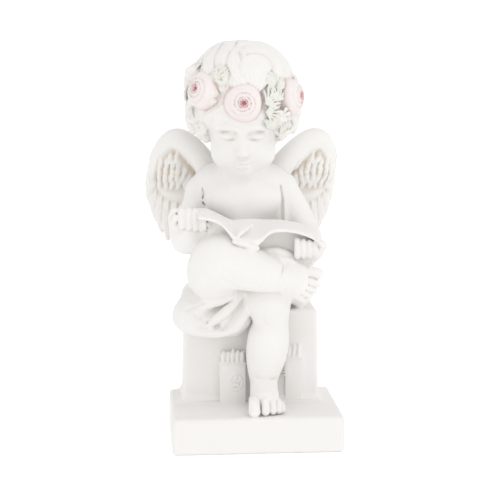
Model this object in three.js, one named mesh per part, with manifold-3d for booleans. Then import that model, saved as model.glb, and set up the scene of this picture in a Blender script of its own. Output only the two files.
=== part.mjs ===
// A seated cherub reading a book, cast as one piece with its block, its wreath of roses and its slab.
// Millimetres, +z up, the figure faces -y, x runs to the figure's left. The origin is the centre of
// the slab's underside.
import * as THREE from "three";
import { mergeVertices } from "three/addons/utils/BufferGeometryUtils.js";
import Module from "manifold-3d";

const wasm = await Module();
wasm.setup();

// ---------------------------------------------------------------- driving sizes
const SLAB = { width: 122, depth: 93.5, height: 26, round: 2.4 };
const BLOCK = { width: 100, depth: 42, height: 68.5, x: -1.6, y: 23.5, taper: 0.97, round: 2 };
// The cove where the block runs into the slab: how much wider its foot is, its height, and how far
// it and the block are set into the slab.
const SKIRT = { grow: 7, height: 5, bury: 0.5 };
const BLOCK_BURY = 4;
const SEAT = SLAB.height + BLOCK.height; // height of the block's top

// The small books that stand against the block: how far each stands proud, and the row of its
// page ends above it.
const LARGE_BOOK = { x: -15.6, width: 19.2, proud: 4.8, height: 31.2, pages: 4 };
const SMALL_BOOK = { x: 29.6, width: 13.2, proud: 1.7, height: 33.4, pages: 3 };
const PAGE_ENDS = { set: 1, rise: 8, share: 0.7 };
const BOOK_BURY = 4; // how far the small books are set into the block

// Round forms of the trunk: centre, then the three radii.
const TRUNK = {
  seat: { at: [-8, 18, SEAT + 15], radii: [39, 25, 23] },
  belly: { at: [-8, 8, 140], radii: [29.5, 23, 27] },
  chest: { at: [-8, 11, 168], radii: [29, 19.5, 26] },
  collar: { at: [-9, 13, 190], radii: [31, 17, 16] },
};

// Limbs: stations of x, y, z and radius from the root to the end.
const SHOULDERS = [[-37, 15, 182, 11.5], [-22, 15, 187, 15], [5, 15, 187, 15], [20, 15, 184, 12.5]];
const NECK = [[-8, 12, 188, 17], [-8, 4, 212, 15]];
const RIGHT_ARM = [[-37, 15, 180, 12], [-43, 13, 165, 10.5], [-49, 7, 151, 10.5], [-49.5, -12, 149.5, 10.5],
  [-48, -19, 155, 9]];
const LEFT_ARM = [[21, 15, 182, 12.5], [30, 12, 168, 11.5], [37.5, 5, 152, 11], [38.5, -12, 147, 10],
  [37, -20, 145, 8.5]];
const CROSSED_THIGH = [[-26, 10, 118, 22], [-27.5, -10, 127, 21], [-26, -28, 133, 20]];
const CROSSED_SHIN = [[-22, -34, 137, 18], [-10, -39, 133, 16.2], [4, -40, 129, 13.6],
  [19, -36, 124.5, 9.9]];
const CROSSED_FOOT = [[18, -34.5, 124.6, 10], [24, -35, 123.4, 11.4], [29, -36, 121.4, 12.2]];
const STANDING_THIGH = [[10, 12, 113, 23], [9, -10, 112, 19], [8.5, -24, 108, 16]];
const STANDING_SHIN = [[9, -25, 106, 15.2], [10.2, -21.5, 89.5, 12.9], [8.9, -18.5, 77, 15],
  [7.8, -16.5, 66, 14.7], [6.4, -14.5, 55, 12.2], [6.2, -13, 46, 9.8]];
const STANDING_FOOT = [[6.2, -12, 38, 9.6], [6, -22, 36.5, 10.4], [5.6, -32, 32.5, 10.6]];

// The round of each hand, and its fingers and the toes side by side: the first one's root, the
// step to the next, how far each reaches, and the radii of the first and of the others.
const RIGHT_PALM = { at: [-49, -21, 158], radii: [10, 8.5, 14] };
const RIGHT_FINGERS = { count: 4, at: [-53.5, -28.5, 171.5], step: [4.7, -0.1, -0.4],
  reach: [0.4, -1.5, -10.5], radius: 2.8, others: 2.8 };
const RIGHT_THUMB = [[-58, -15, 158, 3.8], [-60, -22, 167, 3.4], [-58.6, -26.5, 171, 3]];
const LEFT_PALM = { at: [37, -26, 142.5], radii: [10, 9.5, 9.2] };
const LEFT_FINGERS = { count: 4, at: [28, -35, 139.5], step: [4, 0.1, 0.3], reach: [-0.8, -3, 11.5],
  radius: 2.6, others: 2.6 };
const CROSSED_TOES = { count: 5, at: [32.5, -40, 128.8], step: [-1.7, 0.2, -4.2], reach: [8.2, -2, -1.2],
  radius: 4.2, others: 2.6 };
const STANDING_TOES = { count: 5, at: [-3, -35, 32], step: [4.6, 0.4, 0], reach: [0, -6.5, -4],
  radius: 4.3, others: 2.6 };

// The cloth: its full rounds over the block's corner and over the lap, its folds, and the roll of
// it round the back.
const CLOTH_ROUNDS = [
  { at: [-33, 0, 95], radii: [24.5, 16, 18.5], sides: 10 },
  { at: [-17, -7, 94], radii: [15, 11.5, 17], sides: 8 },
  { at: [20, 2, 122], radii: [25, 23, 15], sides: 9 },
];
const CLOTH_FOLDS = [
  [[-55, 6, 97, 3], [-54, -5, 88, 3.6], [-36, -14, 80.5, 3.8], [-18, -16, 82, 3.6], [-8, -17, 90, 2.6]],
  [[-6.5, -23, 113, 2.2], [-12, -22, 100, 3.8], [-20, -19, 86, 2.8]],
  [[-9, -22, 113, 2.2], [-20, -20.5, 103, 3.8], [-35, -16, 91, 3]],
  [[-12, -20, 112, 2.2], [-28, -18, 105, 3.4], [-48, -8, 99, 3]],
  [[0, -22, 141, 3.2], [18, -26, 141, 4], [33, -20, 132, 3.4]],
  [[8, -25, 135, 3], [22, -28, 133, 3.6], [33, -24, 125, 3]],
];
const CLOTH_ROLL = [[-44, 10, 101, 7.5], [-38, 33, 102, 9], [-8, 41, 102, 10], [22, 33, 102, 9],
  [34, 10, 101, 7.5]];

// The head: a frame of its own, bowed forward, in which z is up through the crown.
const HEAD = { at: [-8.2, 3, 251], bow: 14, turn: -4, skull: [37, 38.5, 38] };
const JAW = { at: [0, -9, -28], radii: [23.5, 22, 21] };
const BROW = { at: [0, -7, -11], radii: [28, 27.5, 24] };
const CHIN = { at: [0, -20.5, -43.5], radii: [9.5, 8.5, 8] };
const CHEEK = { at: [12.5, -19, -35], radii: [10.5, 10.5, 10] };
const NOSE = { at: [0, -32.5, -30], radii: [3.8, 5, 3.6] };
const NOSE_BRIDGE = { at: [0, -29.5, -21], radii: [2.8, 4.6, 8.5] };
const LIPS = { at: [0, -29.8, -38], radii: [5, 3, 3] };
const EYELID = { at: [10.4, -25, -22], radii: [6.3, 6, 4.4] };

// The hair over the skull: how far it stands above the wreath and below it, how many locks and
// curls it has, and the degrees down from the crown at which the brow and the nape lie.
const HAIR = { top: 0.98, side: 1.03, locks: 8, lock: 0.1, swirl: 38, curls: 11, rows: 3.4, curl: 0.1,
  brow: 88, nape: 150, face: 56, ring: [26, 11] };
const EASE = 12; // degrees over which the hair's height changes
const HAIR_BACK = { face: 0.26, nape: 0.14 }; // how far it draws in over the face and at the nape

// The wreath: its roses' places in degrees round the head from the figure's left.
const WREATH = { roses: [-163, -89, -2, 48, 98, 148], out: 33.5, down: 81.5, tilt: 6 };
// Each leaf's fan in degrees, its reach round the head and up it in degrees, its arch off the head
// as a share of the skull, and its half width.
const LEAF = { count: 2, fan: 50, around: 20, up: 17, arch: 0.03, width: 5, flat: 0.5, root: 86 };
const LEAF_RISE = [0.96, 1.1]; // its root and its tip over the skull
const ROSE = { petals: 4, lobe: 0.08, ring: 4 };
// The rose's half section: distance from its middle, and height over its back.
const ROSE_SECTION = [[0, 0], [9.5, 1], [12.8, 6], [9.5, 9.5], [7, 7.8], [4, 11.5], [0, 10.4]];

// The open book, from the edge by the knees to the edge by the chest: the thickness of its leaves,
// and of the gutter they are bound in; and the web that fills it below, set back from the edge.
const BOOK = { near: -47, far: -13, leaf: 2.8, gutter: [-15, 0], bound: 6.5, recess: 12, foot: 134,
  inset: [9, 6] };
// Its top along those two edges, as x and z.
const NEAR_EDGE = [[-43, 170.5], [-37, 169.6], [-31, 168], [-26, 165.2], [-19, 157.4], [-15, 154.6],
  [-9, 153.6], [-3, 153.4], [1.7, 155], [6, 158.6], [11, 160.7], [18.5, 160.9], [26, 159.8], [33, 157.5],
  [38, 155], [44.5, 148.6]];
const FAR_EDGE = [[-43, 172.4], [-30.4, 170.2], [-24, 167.2], [-16, 163.8], [-1, 164.5], [18.5, 163.4],
  [30, 161.4], [38, 158.8], [46, 153]];
const SPINE_ROLL = [[-17.5, -47.2, 152.4, 2.6], [-9, -47.6, 150.2, 3], [-1.5, -47.2, 147.6, 2.4]];

// The wings: stations at a distance out from the middle, then y, z and radius. Both lean a little
// towards the figure's left above the height at which they are upright.
const WING = { middle: -5.5, lean: 3.6, upright: 192, leaning: 28, least: -0.4 };
const WING_ARM = [[20, 29, 186, 9], [31, 33, 202, 9], [45, 38, 214, 9.5], [54, 41, 216, 9.5],
  [61, 43, 208, 8], [64.5, 44.5, 196, 6], [66, 45, 184, 4.5]];
const WING_BACK = { at: [46, 42, 190], radii: [22, 5, 24], turn: 16 };
// The primaries fan from the innermost to the outermost: how far out each one's tip and root are,
// and the tip's height, which drops further in the middle of the fan.
const PRIMARIES = { count: 6, inner: [30, 27, 153], outer: [64.8, 65.5, 167], top: 192, drop: 20,
  depth: [40.5, 45], width: 6, tip: 3, bulge: 1.2 };
const COVERTS = { rows: 3, each: 3, inner: 35, outer: 62, top: 206, bottom: 190, depth: [37, 41],
  length: 8, width: 6.4, sweep: 2, narrow: 0.85 };

const CAST_STONE = { color: 0xf1eeea, roughness: 0.75, metalness: 0 };

// ---------------------------------------------------------------- solids
const radians = THREE.MathUtils.degToRad;
const lerp = THREE.MathUtils.lerp;

/** A closed three.js geometry as a solid that can be joined and cut. */
function solid(geometry) {
  geometry.deleteAttribute("normal");
  geometry.deleteAttribute("uv");
  const merged = mergeVertices(geometry, 1e-4);
  return new wasm.Manifold(
    new wasm.Mesh({
      numProp: 3,
      vertProperties: merged.attributes.position.array,
      triVerts: new Uint32Array(merged.index.array),
    }),
  );
}

const join = (solids) => solids.reduce((whole, next) => whole.add(next));

/** The geometry turned by degrees about x, y and z, then moved. */
function place(geometry, at, turn = [0, 0, 0]) {
  const spin = new THREE.Euler(...turn.map(radians), "ZYX");
  geometry.applyMatrix4(new THREE.Matrix4().makeRotationFromEuler(spin));
  return geometry.translate(...at);
}

/** An ellipsoid. */
function blob(at, radii, turn, sides = 9, rows = 6) {
  const sphere = new THREE.SphereGeometry(1, sides, rows).scale(...radii);
  return solid(place(sphere, at, turn));
}

/** The value that varies smoothly through a list, at t from 0 to 1. */
function along(values, t) {
  const at = t * (values.length - 1);
  const i = Math.min(Math.floor(at), values.length - 2);
  return lerp(values[i], values[i + 1], at - i);
}

/**
 * A round or flattened limb through stations of x, y, z and radius, with rounded ends: the rings of
 * a sphere are laid along the curve. flat is the thickness as a share of the width, and it is
 * measured towards face.
 */
function limb(stations, { sides = 9, rows = 7, flat = 1, face = [0, 1, 0], blunt = 5 } = {}) {
  const points = stations.map(([x, y, z]) => new THREE.Vector3(x, y, z));
  const radii = stations.map((station) => station[3]);
  const last = points.length - 1;
  const back = points[0].clone().sub(points[1]).setLength(radii[0] * flat);
  const on = points[last].clone().sub(points[last - 1]).setLength(radii[last] * flat);
  points[0].add(back);
  points[last].add(on);
  const curve = new THREE.CatmullRomCurve3(points);
  const geometry = new THREE.SphereGeometry(1, sides, rows);
  const position = geometry.attributes.position;
  const v = new THREE.Vector3();
  const thick = new THREE.Vector3(...face);
  for (let i = 0; i < position.count; i++) {
    v.fromBufferAttribute(position, i);
    const t = (1 - v.y) / 2;
    const ring = Math.hypot(v.x, v.z);
    const radius = along(radii, t) * Math.sqrt(Math.max(0, 1 - Math.abs(v.y) ** blunt));
    const tangent = curve.getTangent(t);
    const side = new THREE.Vector3().crossVectors(thick, tangent).normalize();
    const normal = new THREE.Vector3().crossVectors(tangent, side);
    const [a, b] = ring > 1e-9 ? [v.x / ring, v.z / ring] : [0, 0];
    const p = curve.getPoint(t).addScaledVector(side, a * radius);
    p.addScaledVector(normal, b * radius * flat);
    position.setXYZ(i, p.x, p.y, p.z);
  }
  return solid(geometry);
}

// ---------------------------------------------------------------- base
/** A box with rounded upright corners and a small bevel all round, its foot at height z. */
function roundedBlock(width, depth, height, round, x, y, z) {
  const [w, d] = [width / 2 - round, depth / 2 - round];
  const outline = new THREE.Shape([
    new THREE.Vector2(-w, -d),
    new THREE.Vector2(w, -d),
    new THREE.Vector2(w, d),
    new THREE.Vector2(-w, d),
  ]);
  const geometry = new THREE.ExtrudeGeometry(outline, {
    depth: height - 2 * round,
    bevelSize: round,
    bevelThickness: round,
    bevelSegments: 2,
    curveSegments: 3,
  });
  return geometry.translate(x, y, z + round);
}

/** The block the figure sits on, a little narrower at the top, with a cove at its foot. */
function block() {
  const { width, depth, height, round, x, y, taper } = BLOCK;
  const body = roundedBlock(width, depth, height + BLOCK_BURY, round, 0, 0, -BLOCK_BURY);
  const position = body.attributes.position;
  for (let i = 0; i < position.count; i++) {
    const share = lerp(1, taper, position.getZ(i) / height);
    position.setXYZ(i, position.getX(i) * share, position.getY(i) * share, position.getZ(i));
  }
  const skirt = new THREE.CylinderGeometry(Math.SQRT1_2, Math.SQRT1_2, SKIRT.height, 4);
  const foot = skirt.attributes.position;
  for (let i = 0; i < foot.count; i++) {
    if (foot.getY(i) > 0) continue;
    foot.setX(i, foot.getX(i) * (1 + SKIRT.grow / width));
    foot.setZ(i, foot.getZ(i) * (1 + SKIRT.grow / depth / 2));
  }
  skirt.rotateY(radians(45)).rotateX(radians(90)).scale(width, depth, 1);
  skirt.translate(x, y - SKIRT.grow / 8, SLAB.height + SKIRT.height / 2 - SKIRT.bury);
  return [solid(body.translate(x, y, SLAB.height)), solid(skirt)];
}

/** A small book standing against the block: its covers, and the page ends above them. */
function standingBook({ x, width, proud, height, pages }) {
  const front = BLOCK.y - BLOCK.depth / 2;
  const deep = proud + BOOK_BURY;
  const y = front - proud + deep / 2;
  const cover = new THREE.BoxGeometry(width, deep, height);
  const pieces = [solid(cover.translate(x, y, SLAB.height + height / 2))];
  const pitch = width / pages;
  const tall = PAGE_ENDS.rise * 2;
  for (let i = 0; i < pages; i++) {
    const at = x + (i - (pages - 1) / 2) * pitch;
    const ends = new THREE.BoxGeometry(pitch * PAGE_ENDS.share, deep - PAGE_ENDS.set, tall);
    pieces.push(solid(ends.translate(at, y + PAGE_ENDS.set / 2, SLAB.height + height)));
  }
  return pieces;
}

function base() {
  const { width, depth, height, round } = SLAB;
  return [
    solid(roundedBlock(width, depth, height, round, 0, 0, 0)),
    ...block(),
    ...standingBook(LARGE_BOOK),
    ...standingBook(SMALL_BOOK),
  ];
}

// ---------------------------------------------------------------- figure
/** Fingers or toes side by side: each a short limb from its root over its tip. */
function digits({ count, at, step, reach, radius, others }) {
  const pieces = [];
  for (let i = 0; i < count; i++) {
    const root = at.map((value, axis) => value + step[axis] * i);
    const tip = root.map((value, axis) => value + reach[axis]);
    const r = i === 0 ? radius : others;
    pieces.push(limb([[...root, r], [...tip, r]], { sides: 5, rows: 4 }));
  }
  return pieces;
}

function trunk() {
  const rounds = Object.values(TRUNK).map(({ at, radii }) => blob(at, radii));
  return [...rounds, limb(SHOULDERS, { rows: 6, face: [0, 0, 1] }), limb(NECK, { rows: 5 })];
}

function legs() {
  return [
    limb(CROSSED_THIGH, { rows: 6, face: [0, 0, 1] }),
    limb(CROSSED_SHIN, { face: [0, 0, 1] }),
    limb(CROSSED_FOOT, { sides: 8, rows: 5, face: [0, 0, 1] }),
    ...digits(CROSSED_TOES),
    limb(STANDING_THIGH, { sides: 9, rows: 5, face: [0, 0, 1] }),
    limb(STANDING_SHIN, { sides: 9, rows: 9 }),
    limb(STANDING_FOOT, { sides: 8, rows: 5, face: [0, 0, 1] }),
    ...digits(STANDING_TOES),
  ];
}

function arms() {
  return [
    limb(RIGHT_ARM, { sides: 8, rows: 8, face: [1, 0, 0] }),
    blob(RIGHT_PALM.at, RIGHT_PALM.radii, undefined, 8, 5),
    ...digits(RIGHT_FINGERS),
    limb(RIGHT_THUMB, { sides: 5, rows: 4 }),
    limb(LEFT_ARM, { sides: 8, rows: 8, face: [1, 0, 0] }),
    blob(LEFT_PALM.at, LEFT_PALM.radii, undefined, 8, 5),
    ...digits(LEFT_FINGERS),
  ];
}

// ---------------------------------------------------------------- drapery
function drapery() {
  return [
    ...CLOTH_ROUNDS.map(({ at, radii, sides }) => blob(at, radii, undefined, sides, 6)),
    ...CLOTH_FOLDS.map((stations) => limb(stations, { sides: 5, rows: 4 })),
    limb(CLOTH_ROLL, { sides: 6, rows: 7, face: [0, 0, 1] }),
  ];
}

// ---------------------------------------------------------------- book
/**
 * A body under the book's top: the edge by the knees extruded from front to back, and lifted
 * towards the edge by the chest. under gives the height of its lower side below a point of the edge.
 */
function underPages(from, front, under) {
  const curveOf = (edge) => new THREE.CatmullRomCurve3(edge.map(([x, z]) => new THREE.Vector3(x, z, 0)));
  const steps = NEAR_EDGE.length + 4;
  const spaced = curveOf(NEAR_EDGE).getPoints(steps);
  const kept = spaced.filter(({ x }) => x >= from[0] && x <= from[1]);
  const near = kept.map((p) => new THREE.Vector2(p.x, p.y));
  const far = curveOf(FAR_EDGE).getPoints(steps * 4);
  const rise = (x) => far.find((p) => p.x >= x)?.y ?? far.at(-1).y;
  const lower = near.map((p) => new THREE.Vector2(p.x, under(p)));
  const outline = new THREE.Shape([...lower, ...near.slice().reverse()]);
  const body = new THREE.ExtrudeGeometry(outline, { depth: BOOK.far - front, bevelEnabled: false });
  body.rotateX(radians(90)).translate(0, BOOK.far, 0);
  const position = body.attributes.position;
  for (let i = 0; i < position.count; i++) {
    const x = position.getX(i);
    const share = (position.getY(i) - BOOK.near) / (BOOK.far - BOOK.near);
    const top = near.reduce((best, p) => (Math.abs(p.x - x) < Math.abs(best.x - x) ? p : best));
    const onFoot = position.getZ(i) < BOOK.foot + BOOK.leaf / 2;
    if (!onFoot) position.setZ(i, position.getZ(i) + share * (rise(x) - top.y));
  }
  return solid(body);
}

/** The open book: its thin leaves, thicker where they are bound, over the web that holds them up. */
function book() {
  const [left, right] = [NEAR_EDGE[0][0], NEAR_EDGE.at(-1)[0]];
  const bound = (x) => x > BOOK.gutter[0] && x < BOOK.gutter[1];
  return [
    underPages([left, right], BOOK.near, ({ x, y }) => y - (bound(x) ? BOOK.bound : BOOK.leaf)),
    underPages([left + BOOK.inset[0], right - BOOK.inset[1]], BOOK.near + BOOK.recess, () => BOOK.foot),
    limb(SPINE_ROLL, { sides: 6, rows: 4, face: [0, 0, 1] }),
  ];
}

// ---------------------------------------------------------------- head
/** A geometry or a point of the head's own frame, in the statue's. */
function ontoHead(thing) {
  const turn = new THREE.Matrix4().makeRotationZ(radians(HEAD.turn));
  const bow = new THREE.Matrix4().makeRotationX(radians(HEAD.bow));
  return thing.applyMatrix4(turn.multiply(bow).setPosition(...HEAD.at));
}

const onHead = (at) => ontoHead(new THREE.Vector3(...at)).toArray();

/** A point over the skull: degrees round it from the figure's left, and down from the crown. */
function overSkull(round, down, rise = 1) {
  const [a, b] = [radians(round), radians(down)];
  const [w, d, h] = HEAD.skull;
  return onHead([
    w * rise * Math.cos(a) * Math.sin(b),
    d * rise * Math.sin(a) * Math.sin(b),
    h * rise * Math.cos(b),
  ]);
}

/** A plain child's face with its eyes lowered. */
function face() {
  const part = ({ at, radii }, sides = 6, rows = 4, side = 1) => {
    const sphere = new THREE.SphereGeometry(1, sides, rows).scale(...radii);
    return solid(ontoHead(sphere.translate(at[0] * side, at[1], at[2])));
  };
  return [
    part(JAW, 11, 8),
    part(BROW, 11, 7),
    part(CHIN, 8, 5),
    ...[-1, 1].map((side) => part(CHEEK, 7, 5, side)),
    part(NOSE),
    part(NOSE_BRIDGE),
    part(LIPS),
    ...[-1, 1].map((side) => part(EYELID, 7, 4, side)),
  ];
}

/** How far the hair stands over the skull: locks above the wreath, curls below, none on the face. */
function hairRise(round, down) {
  const smooth = THREE.MathUtils.smoothstep;
  const swept = round + HAIR.swirl * Math.sin(radians(down * 2));
  const lock = Math.abs(Math.sin(radians((HAIR.locks * swept) / 2)));
  const column = Math.abs(Math.sin(radians((HAIR.curls * round) / 2)));
  const curl = column * Math.abs(Math.cos(radians(down * HAIR.rows)));
  const fromFace = Math.abs(((round + 90 + 540) % 360) - 180);
  const low = smooth(down, HAIR.brow, HAIR.brow + EASE);
  const beside = smooth(fromFace, HAIR.face - EASE, HAIR.face + EASE / 2);
  const onFace = smooth(down, HAIR.brow + EASE, HAIR.brow + 2 * EASE) * (1 - beside);
  const below = smooth(down, HAIR.nape - 2 * EASE, HAIR.nape + EASE);
  const rise = lerp(HAIR.top + HAIR.lock * lock, HAIR.side + HAIR.curl * curl, low);
  return rise * (1 - HAIR_BACK.face * onFace) * (1 - HAIR_BACK.nape * below);
}

/** The whole head of hair as one closed form. */
function hair() {
  const geometry = new THREE.SphereGeometry(1, ...HAIR.ring).rotateX(radians(90));
  const position = geometry.attributes.position;
  for (let i = 0; i < position.count; i++) {
    const [x, y, z] = [position.getX(i), position.getY(i), position.getZ(i)];
    const down = THREE.MathUtils.radToDeg(Math.acos(Math.min(1, Math.max(-1, z))));
    const round = Math.round(THREE.MathUtils.radToDeg(Math.atan2(y, x)) * 10) / 10;
    const pole = Math.hypot(x, y) < 1e-6;
    position.setXYZ(i, ...overSkull(pole ? 0 : round, down, pole ? 1 : hairRise(round, down)));
  }
  return [solid(geometry)];
}

/** A rose that faces outward: rings of petals round a bud, the rings lobed. */
function rose(round) {
  const section = ROSE_SECTION.map(([out, up]) => new THREE.Vector2(out, up));
  const geometry = new THREE.LatheGeometry(section, ROSE.petals * 2);
  const position = geometry.attributes.position;
  for (let i = 0; i < position.count; i++) {
    const [x, z] = [position.getX(i), position.getZ(i)];
    const out = Math.hypot(x, z);
    const lobe = 1 + ROSE.lobe * Math.cos(ROSE.petals * Math.atan2(z, x)) * Math.min(1, out / ROSE.ring);
    position.setX(i, x * lobe);
    position.setZ(i, z * lobe);
  }
  const down = radians(WREATH.down + WREATH.tilt * Math.cos(radians(round)));
  geometry.rotateZ(radians(-90)).translate(WREATH.out * Math.sin(down), 0, 0);
  geometry.rotateZ(radians(round)).translate(0, 0, WREATH.out * Math.cos(down));
  return solid(ontoHead(geometry));
}

/** Pointed leaves that fan out of the gap between two roses. */
function leaves(round) {
  const pieces = [];
  for (let i = 0; i < LEAF.count; i++) {
    const lean = radians(lerp(-LEAF.fan, LEAF.fan, i / (LEAF.count - 1)));
    const root = overSkull(round, LEAF.root, LEAF_RISE[0]);
    const [aside, upward] = [Math.sin(lean) * LEAF.around, Math.cos(lean) * LEAF.up];
    const end = overSkull(round + aside, WREATH.down - upward, LEAF_RISE[1]);
    const mid = root.map((value, axis) => (value + end[axis]) / 2 + (value - HEAD.at[axis]) * LEAF.arch);
    const outward = root.map((value, axis) => value - HEAD.at[axis]);
    const stations = [[...root, LEAF.width / 2], [...mid, LEAF.width], [...end, LEAF.width / 5]];
    pieces.push(limb(stations, { sides: 4, rows: 3, flat: LEAF.flat, face: outward, blunt: 3 }));
  }
  return pieces;
}

function wreath() {
  const places = WREATH.roses;
  return places.flatMap((round, i) => {
    const next = i + 1 < places.length ? places[i + 1] : places[0] + 360;
    return [rose(round), ...leaves((round + next) / 2)];
  });
}

// ---------------------------------------------------------------- wings
/** One wing: its rounded arm, rows of short coverts and a fan of long primaries. */
function wing(side) {
  const on = (out, y, z, r) => {
    const lean = WING.lean * THREE.MathUtils.clamp((z - WING.upright) / WING.leaning, WING.least, 1);
    return [WING.middle + lean + side * out, y, z, r];
  };
  const pieces = [
    limb(WING_ARM.map((station) => on(...station)), { sides: 6, rows: 9, flat: 0.9 }),
    blob(on(...WING_BACK.at).slice(0, 3), WING_BACK.radii, [0, side * WING_BACK.turn, 0], 9, 4),
  ];
  for (let i = 0; i < PRIMARIES.count; i++) {
    const { inner, outer, top, drop, depth, width, tip } = PRIMARIES;
    const t = i / (PRIMARIES.count - 1);
    const [lowOut, highOut, low] = inner.map((value, k) => lerp(value, outer[k], t));
    const back = lerp(...depth, t);
    const end = low - drop * Math.sin(Math.PI * t);
    const mid = on((lowOut + highOut) / 2 + PRIMARIES.bulge, back, (top + end) / 2, width);
    const feather = [on(highOut, back, top, width), mid, on(lowOut, back + 1, end, tip)];
    pieces.push(limb(feather, { sides: 4, rows: 3, flat: 0.6, blunt: 4 }));
  }
  for (let row = 0; row < COVERTS.rows; row++) {
    const { rows, each, inner, outer, top, bottom, depth, length, width, sweep, narrow } = COVERTS;
    const z = lerp(top, bottom, row / (rows - 1));
    for (let i = 0; i < each; i++) {
      const t = (i + 0.5 * (row % 2)) / (each - 0.5);
      const out = lerp(inner, outer, t);
      const y = lerp(...depth, t) + row / 2;
      const tip = on(out + sweep, y - sweep, z - length, width * narrow);
      const feather = [on(out, y, z + sweep, width), tip];
      pieces.push(limb(feather, { sides: 4, rows: 3, flat: 0.7 }));
    }
  }
  return pieces;
}

// ---------------------------------------------------------------- the statue
/** The joined solid as a mesh, without the shavings a join can leave where two faces nearly meet. */
function castMesh(whole) {
  const [cast] = whole.decompose().sort((a, b) => b.volume() - a.volume());
  const { vertProperties, triVerts } = cast.getMesh();
  const geometry = new THREE.BufferGeometry();
  geometry.setAttribute("position", new THREE.BufferAttribute(vertProperties, 3));
  geometry.setIndex(new THREE.BufferAttribute(triVerts, 1));
  geometry.computeVertexNormals();
  const mesh = new THREE.Mesh(geometry, new THREE.MeshStandardMaterial(CAST_STONE));
  mesh.name = "cherub_statue";
  return mesh;
}

const statue = new THREE.Group();
statue.add(
  castMesh(
    join([
      ...base(),
      ...trunk(),
      ...legs(),
      ...arms(),
      ...drapery(),
      ...book(),
      ...face(),
      ...hair(),
      ...wreath(),
      ...wing(-1),
      ...wing(1),
    ]),
  ),
);

export default statue;
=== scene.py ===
import math
import time
from collections import namedtuple

import bmesh
import bpy
import numpy as np
from mathutils import Matrix, Vector


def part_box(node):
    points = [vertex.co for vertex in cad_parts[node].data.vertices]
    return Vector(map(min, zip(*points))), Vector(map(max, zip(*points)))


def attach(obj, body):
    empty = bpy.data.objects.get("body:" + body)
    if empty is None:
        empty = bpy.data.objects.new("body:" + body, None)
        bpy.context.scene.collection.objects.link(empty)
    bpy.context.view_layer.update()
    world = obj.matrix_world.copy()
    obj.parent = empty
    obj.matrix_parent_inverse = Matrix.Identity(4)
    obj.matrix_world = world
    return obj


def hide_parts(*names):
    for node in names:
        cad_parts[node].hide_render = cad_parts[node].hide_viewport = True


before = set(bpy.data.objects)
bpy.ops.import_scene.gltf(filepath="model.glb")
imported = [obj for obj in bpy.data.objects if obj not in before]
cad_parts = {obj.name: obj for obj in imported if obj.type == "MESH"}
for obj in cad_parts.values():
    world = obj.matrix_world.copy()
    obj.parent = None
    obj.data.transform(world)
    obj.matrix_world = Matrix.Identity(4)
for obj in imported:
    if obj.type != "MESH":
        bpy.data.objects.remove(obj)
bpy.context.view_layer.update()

bl_info = {
    "name": "Cast stone cherub",
    "version": (1, 0, 0),
    "blender": (4, 5, 0),
    "location": "3D View > Sidebar > Cherub",
    "description": "A seated cherub reading a book, modelled in clay and cast in white stone",
    "category": "Add Mesh",
}

NODE = "cherub_statue"
DESIGN_HEIGHT = 291.8  # millimetres from the underside to the crown, as the figure is drawn below
UNIT = float(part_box(NODE)[1][2]) / DESIGN_HEIGHT  # metres for one millimetre of the design
FAR = 20.0  # millimetres: the distance the clay holds where nothing is near
REACH = 7.0  # millimetres past a form's surface in which its distance is worked out
CLAY_BOX = ((-84, -60, -4), (76, 58, 300))  # the corners of the space the clay is worked in

# ------------------------------------------------------------------ sizes, in design millimetres
SLAB = {"width": 122.0, "depth": 93.5, "height": 26.0, "round": 2.4}
BLOCK = {"width": 100.0, "depth": 42.0, "height": 68.5, "x": -1.6, "y": 23.5, "taper": 0.975,
         "round": 2.4, "cove": 5.0}
SEAT = SLAB["height"] + BLOCK["height"]

# Limbs: stations of x, y, z and radius, from the root to the end. x runs to the figure's left,
# y to its back and z up.
SHOULDERS = [(-37, 15, 182, 11.5), (-22, 15, 187, 15), (5, 15, 187, 15), (20, 15, 184, 12.5)]
NECK = [(-8, 12, 188, 17), (-8, 4, 212, 15)]
RIGHT_ARM = [(-37, 15, 180, 12), (-43, 13, 165, 10.5), (-49, 7, 151, 10.5),
             (-49.5, -12, 149.5, 10.5), (-48, -19, 155, 9)]
LEFT_ARM = [(21, 15, 182, 12.5), (30, 12, 168, 11.5), (37.5, 5, 152, 11), (38.5, -12, 147, 10),
            (37, -20, 145, 8.5)]
CROSSED_THIGH = [(-26, 10, 118, 22), (-27.5, -10, 127, 21), (-26, -28, 133, 20)]
CROSSED_SHIN = [(-22, -34, 137, 18), (-10, -39, 133, 16.2), (4, -40, 129, 13.6),
                (14, -38, 126, 10.6), (19, -36, 124.5, 9.9)]
CROSSED_FOOT = [(18, -34.5, 124.6, 10), (24, -35, 123.4, 11.4), (29, -36, 121.4, 12.2)]
STANDING_THIGH = [(10, 12, 113, 23), (9, -10, 112, 19), (8.5, -24, 108, 16)]
STANDING_SHIN = [(9, -25, 106, 15.2), (10.2, -21.5, 89.5, 12.9), (8.9, -18.5, 77, 15),
                 (7.8, -16.5, 66, 14.7), (6.4, -14.5, 55, 12.2), (6.2, -13, 46, 9.8)]
STANDING_FOOT = [(6.2, -12, 38, 9.6), (6, -20, 36.8, 10.4), (5.8, -28, 33.6, 10.2)]

HEAD = {"at": (-8.2, 3.0, 251.0), "bow": 14.0, "turn": -4.0, "skull": (37.0, 38.5, 38.0)}
# Degrees round the head from the figure's left, with the face at -90, and degrees below the wreath.
ROSES = [(-140, -3.3), (-89, -0.3), (-23, -3.0), (36, 0), (93, 0), (152, 0)]
WREATH = {"out": 37.5, "down": 81.5, "tilt": 6.0}
ROSE_RADIUS = 13.1

BOOK = {"near": -47.0, "far": -13.0, "leaf": 2.6, "recess": 14.0, "foot": 134.0,
        "inset": (8.0, 6.0)}
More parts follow.
